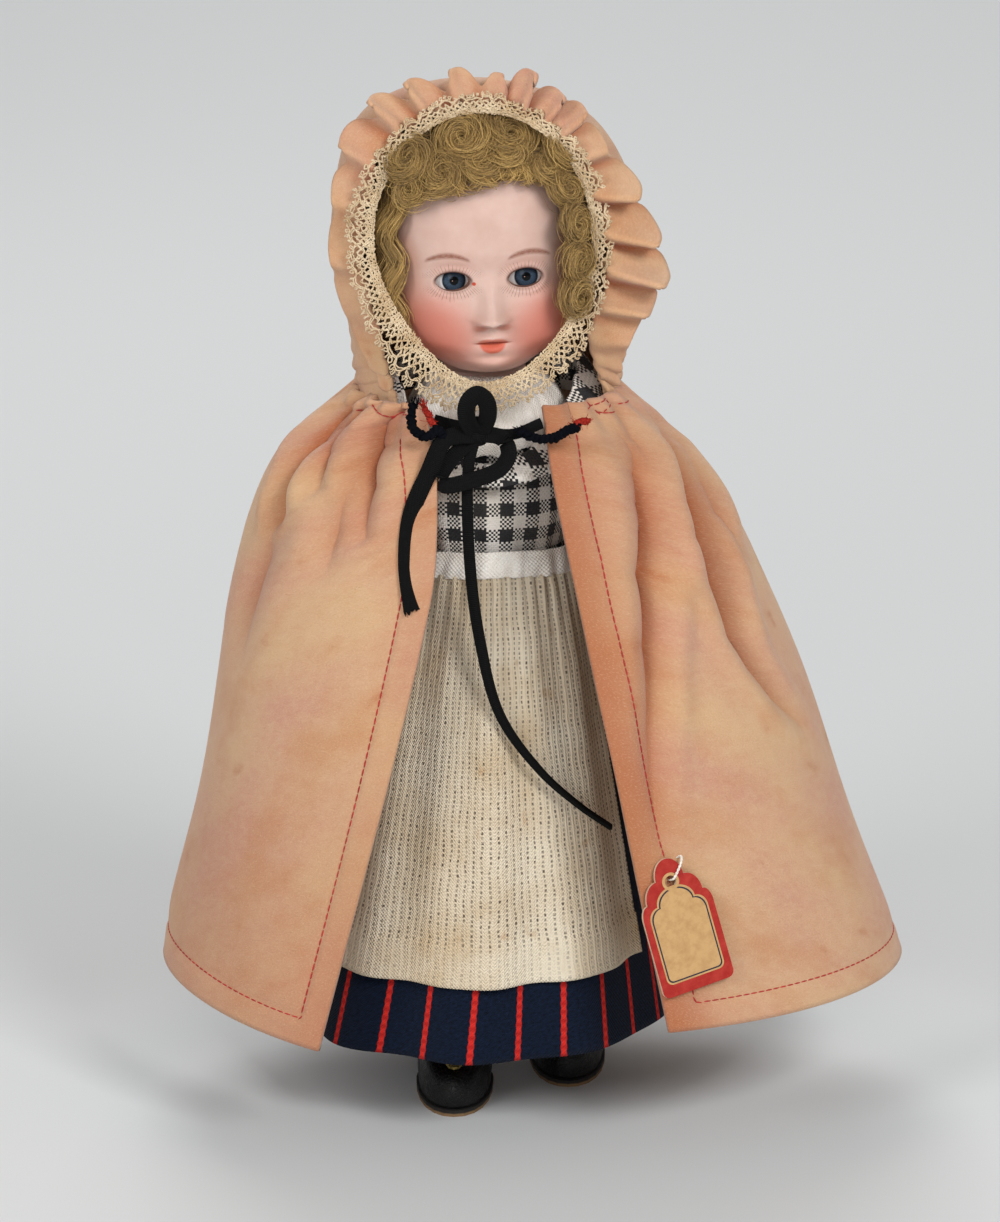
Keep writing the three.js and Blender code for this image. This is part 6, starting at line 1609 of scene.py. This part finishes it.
def tag_plate(name, outline, hole, low, high, face, edge):
    """A flat plate on the tag between two distances from the card's middle, with a round hole or none."""
    turns = full_turn(40)
    rims = [outline] + ([np.stack([hole * np.cos(turns), hole * np.sin(turns)], -1)] if hole else [])
    flat = np.concatenate(rims)
    count = len(flat)
    tris = [list(t) for t in tessellate_polygon([[Vector((x, y, 0)) for x, y in rim] for rim in rims])]
    upward = [t if np.cross(flat[t[1]] - flat[t[0]], flat[t[2]] - flat[t[0]]) > 0 else t[::-1] for t in tris]
    faces = [[k + count for k in t] for t in upward] + [t[::-1] for t in upward]
    fronts = len(upward)
    start = 0
    for rim, way in zip(rims, (1, -1)):
        area = (rim[:, 0] * np.roll(rim[:, 1], -1) - np.roll(rim[:, 0], -1) * rim[:, 1]).sum() * way
        for k in range(len(rim)):
            a, b = start + k, start + (k + 1) % len(rim)
            faces.append([a, b, b + count, a + count] if area > 0 else [b, a, a + count, b + count])
        start += len(rim)
    mesh = bpy.data.meshes.new(name)
    points = np.concatenate([on_tag(flat[:, 0], flat[:, 1], z) for z in (low, high)])
    mesh.from_pydata(((points + stand) / 1000).tolist(), [], faces)
    layer = mesh.uv_layers.new(name="cloth")
    for loop in mesh.loops:
        layer.data[loop.index].uv = flat[loop.vertex_index % count]
    mesh.materials.append(face)
    mesh.materials.append(edge)
    for polygon in mesh.polygons[2 * fronts:]:
        polygon.material_index = 1
    piece = bpy.data.objects.new(name, mesh)
    bpy.context.collection.objects.link(piece)
    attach(piece, "tag")
    return piece


def printed(name, ink, faded, gloss):
    """Ink on smooth card: a thin gloss, rubbed paler in patches, with a faint paper tooth."""
    made, tree, shader = start_material(name, Roughness=gloss, Specular_IOR_Level=0.3)
    uv = put(tree, "UVMap", uv_map="cloth")
    rub = put(tree, "TexNoise", uv, 0.35, 6, 0.65)
    shade = put(tree, "Mix RGBA", put(tree, "MapRange", rub, 0.42, 0.72), ink, faded)
    dulled = put(tree, "MapRange", rub, 0.3, 0.7, gloss - 0.08, gloss + 0.15)
    bump = put(tree, "Bump", {"Distance": 0.00002, "Height": put(tree, "TexNoise", uv, 6.0, 3, 0.55)})
    fill(tree, shader, {"Base Color": shade, "Roughness": dulled, "Normal": bump})
    return made


tag_red = printed("red printed card", "#a01b13", "#b4362a", 0.55)
tag_cream = printed("cream printed card", "#c59d69", "#b08757", 0.5)
tag_line = printed("dark printed line", "#1b2030", "#2b3040", 0.45)
# Cut card: pale, matt and a little furry where the die went through.
card_core = grained("cut card edge", "#c9a88a", "#e6d3b8", 2200, 0.00004, 0.8)
shoulders = (7.2, -3.9), (tag_half - 0.1, -7.4)
card_outline = stepped_outline((3.6, 0.9, 5.6), shoulders, tag_half, tag_foot, 1.7)
swing_tag = tag_plate("printed_tag", card_outline, tag_hole, -tag_card / 2, tag_card / 2, tag_red, card_core)
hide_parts("swing_tag")
panel = stepped_outline((4.9, -4.9, -1.0), ((7.5, -8.0),), 7.5, -23.6, 1.6)
border = stepped_outline((4.5, -5.2, -1.5), ((7.1, -8.3),), 7.1, -23.2, 1.3)
bare = stepped_outline((4.15, -5.4, -1.85), ((6.75, -8.5),), 6.75, -22.85, 1.1)
ring_turns = full_turn(60)
ring_line = np.stack([2.15 * np.sin(ring_turns), 2.15 * np.cos(ring_turns)], -1)
face_at = tag_card / 2
for name, outline, hole, rise, ink in (
    ("tag_panel_margin", panel, 0, 0.02, tag_cream),
    ("tag_panel_line", border, 0, 0.035, tag_line),
    ("tag_panel", bare, 0, 0.05, tag_cream),
    ("tag_hole_ring", ring_line, tag_hole, 0.065, tag_cream),
):
    tag_plate(name, outline, hole, face_at - 0.05, face_at + rise, ink, ink)

# Cotton thread: soft, matt white.
white_thread = grained("white cotton thread", "#d8d0c2", "#f1ece2", 3000, 0.00004, 0.85)
loop_steps, loop_rounds, loop_twist = 70, 9, 0.16
share = np.linspace(0, 1, loop_steps)
loop_line = spline(np.array([
    (0.4, 0.2, -1.9), (0.3, 0.3, -0.2), (0.7, 0.6, 0.75), (1.9, 2.6, 1.0), (3.0, 4.8, 0.7), (3.3, 5.7, -0.6),
    (2.8, 5.2, -1.7),
]), share)
loop_plies = []
for start in (0.0, math.pi):
    twist = start + 2 * math.pi * loop_rounds * share
    loop_plies.append(on_tag(loop_line[:, 0] + loop_twist * np.cos(twist), loop_line[:, 1],
                             loop_line[:, 2] + loop_twist * np.sin(twist), 0.0))
tag_loop = run_tree("tag_thread_loop", loop_plies, round_threads, {"Sides": 7, "Colour": white_thread},
                    thick=[0.2 / 1000] * 2)
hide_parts("tag_thread")
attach(tag_loop, "torso")
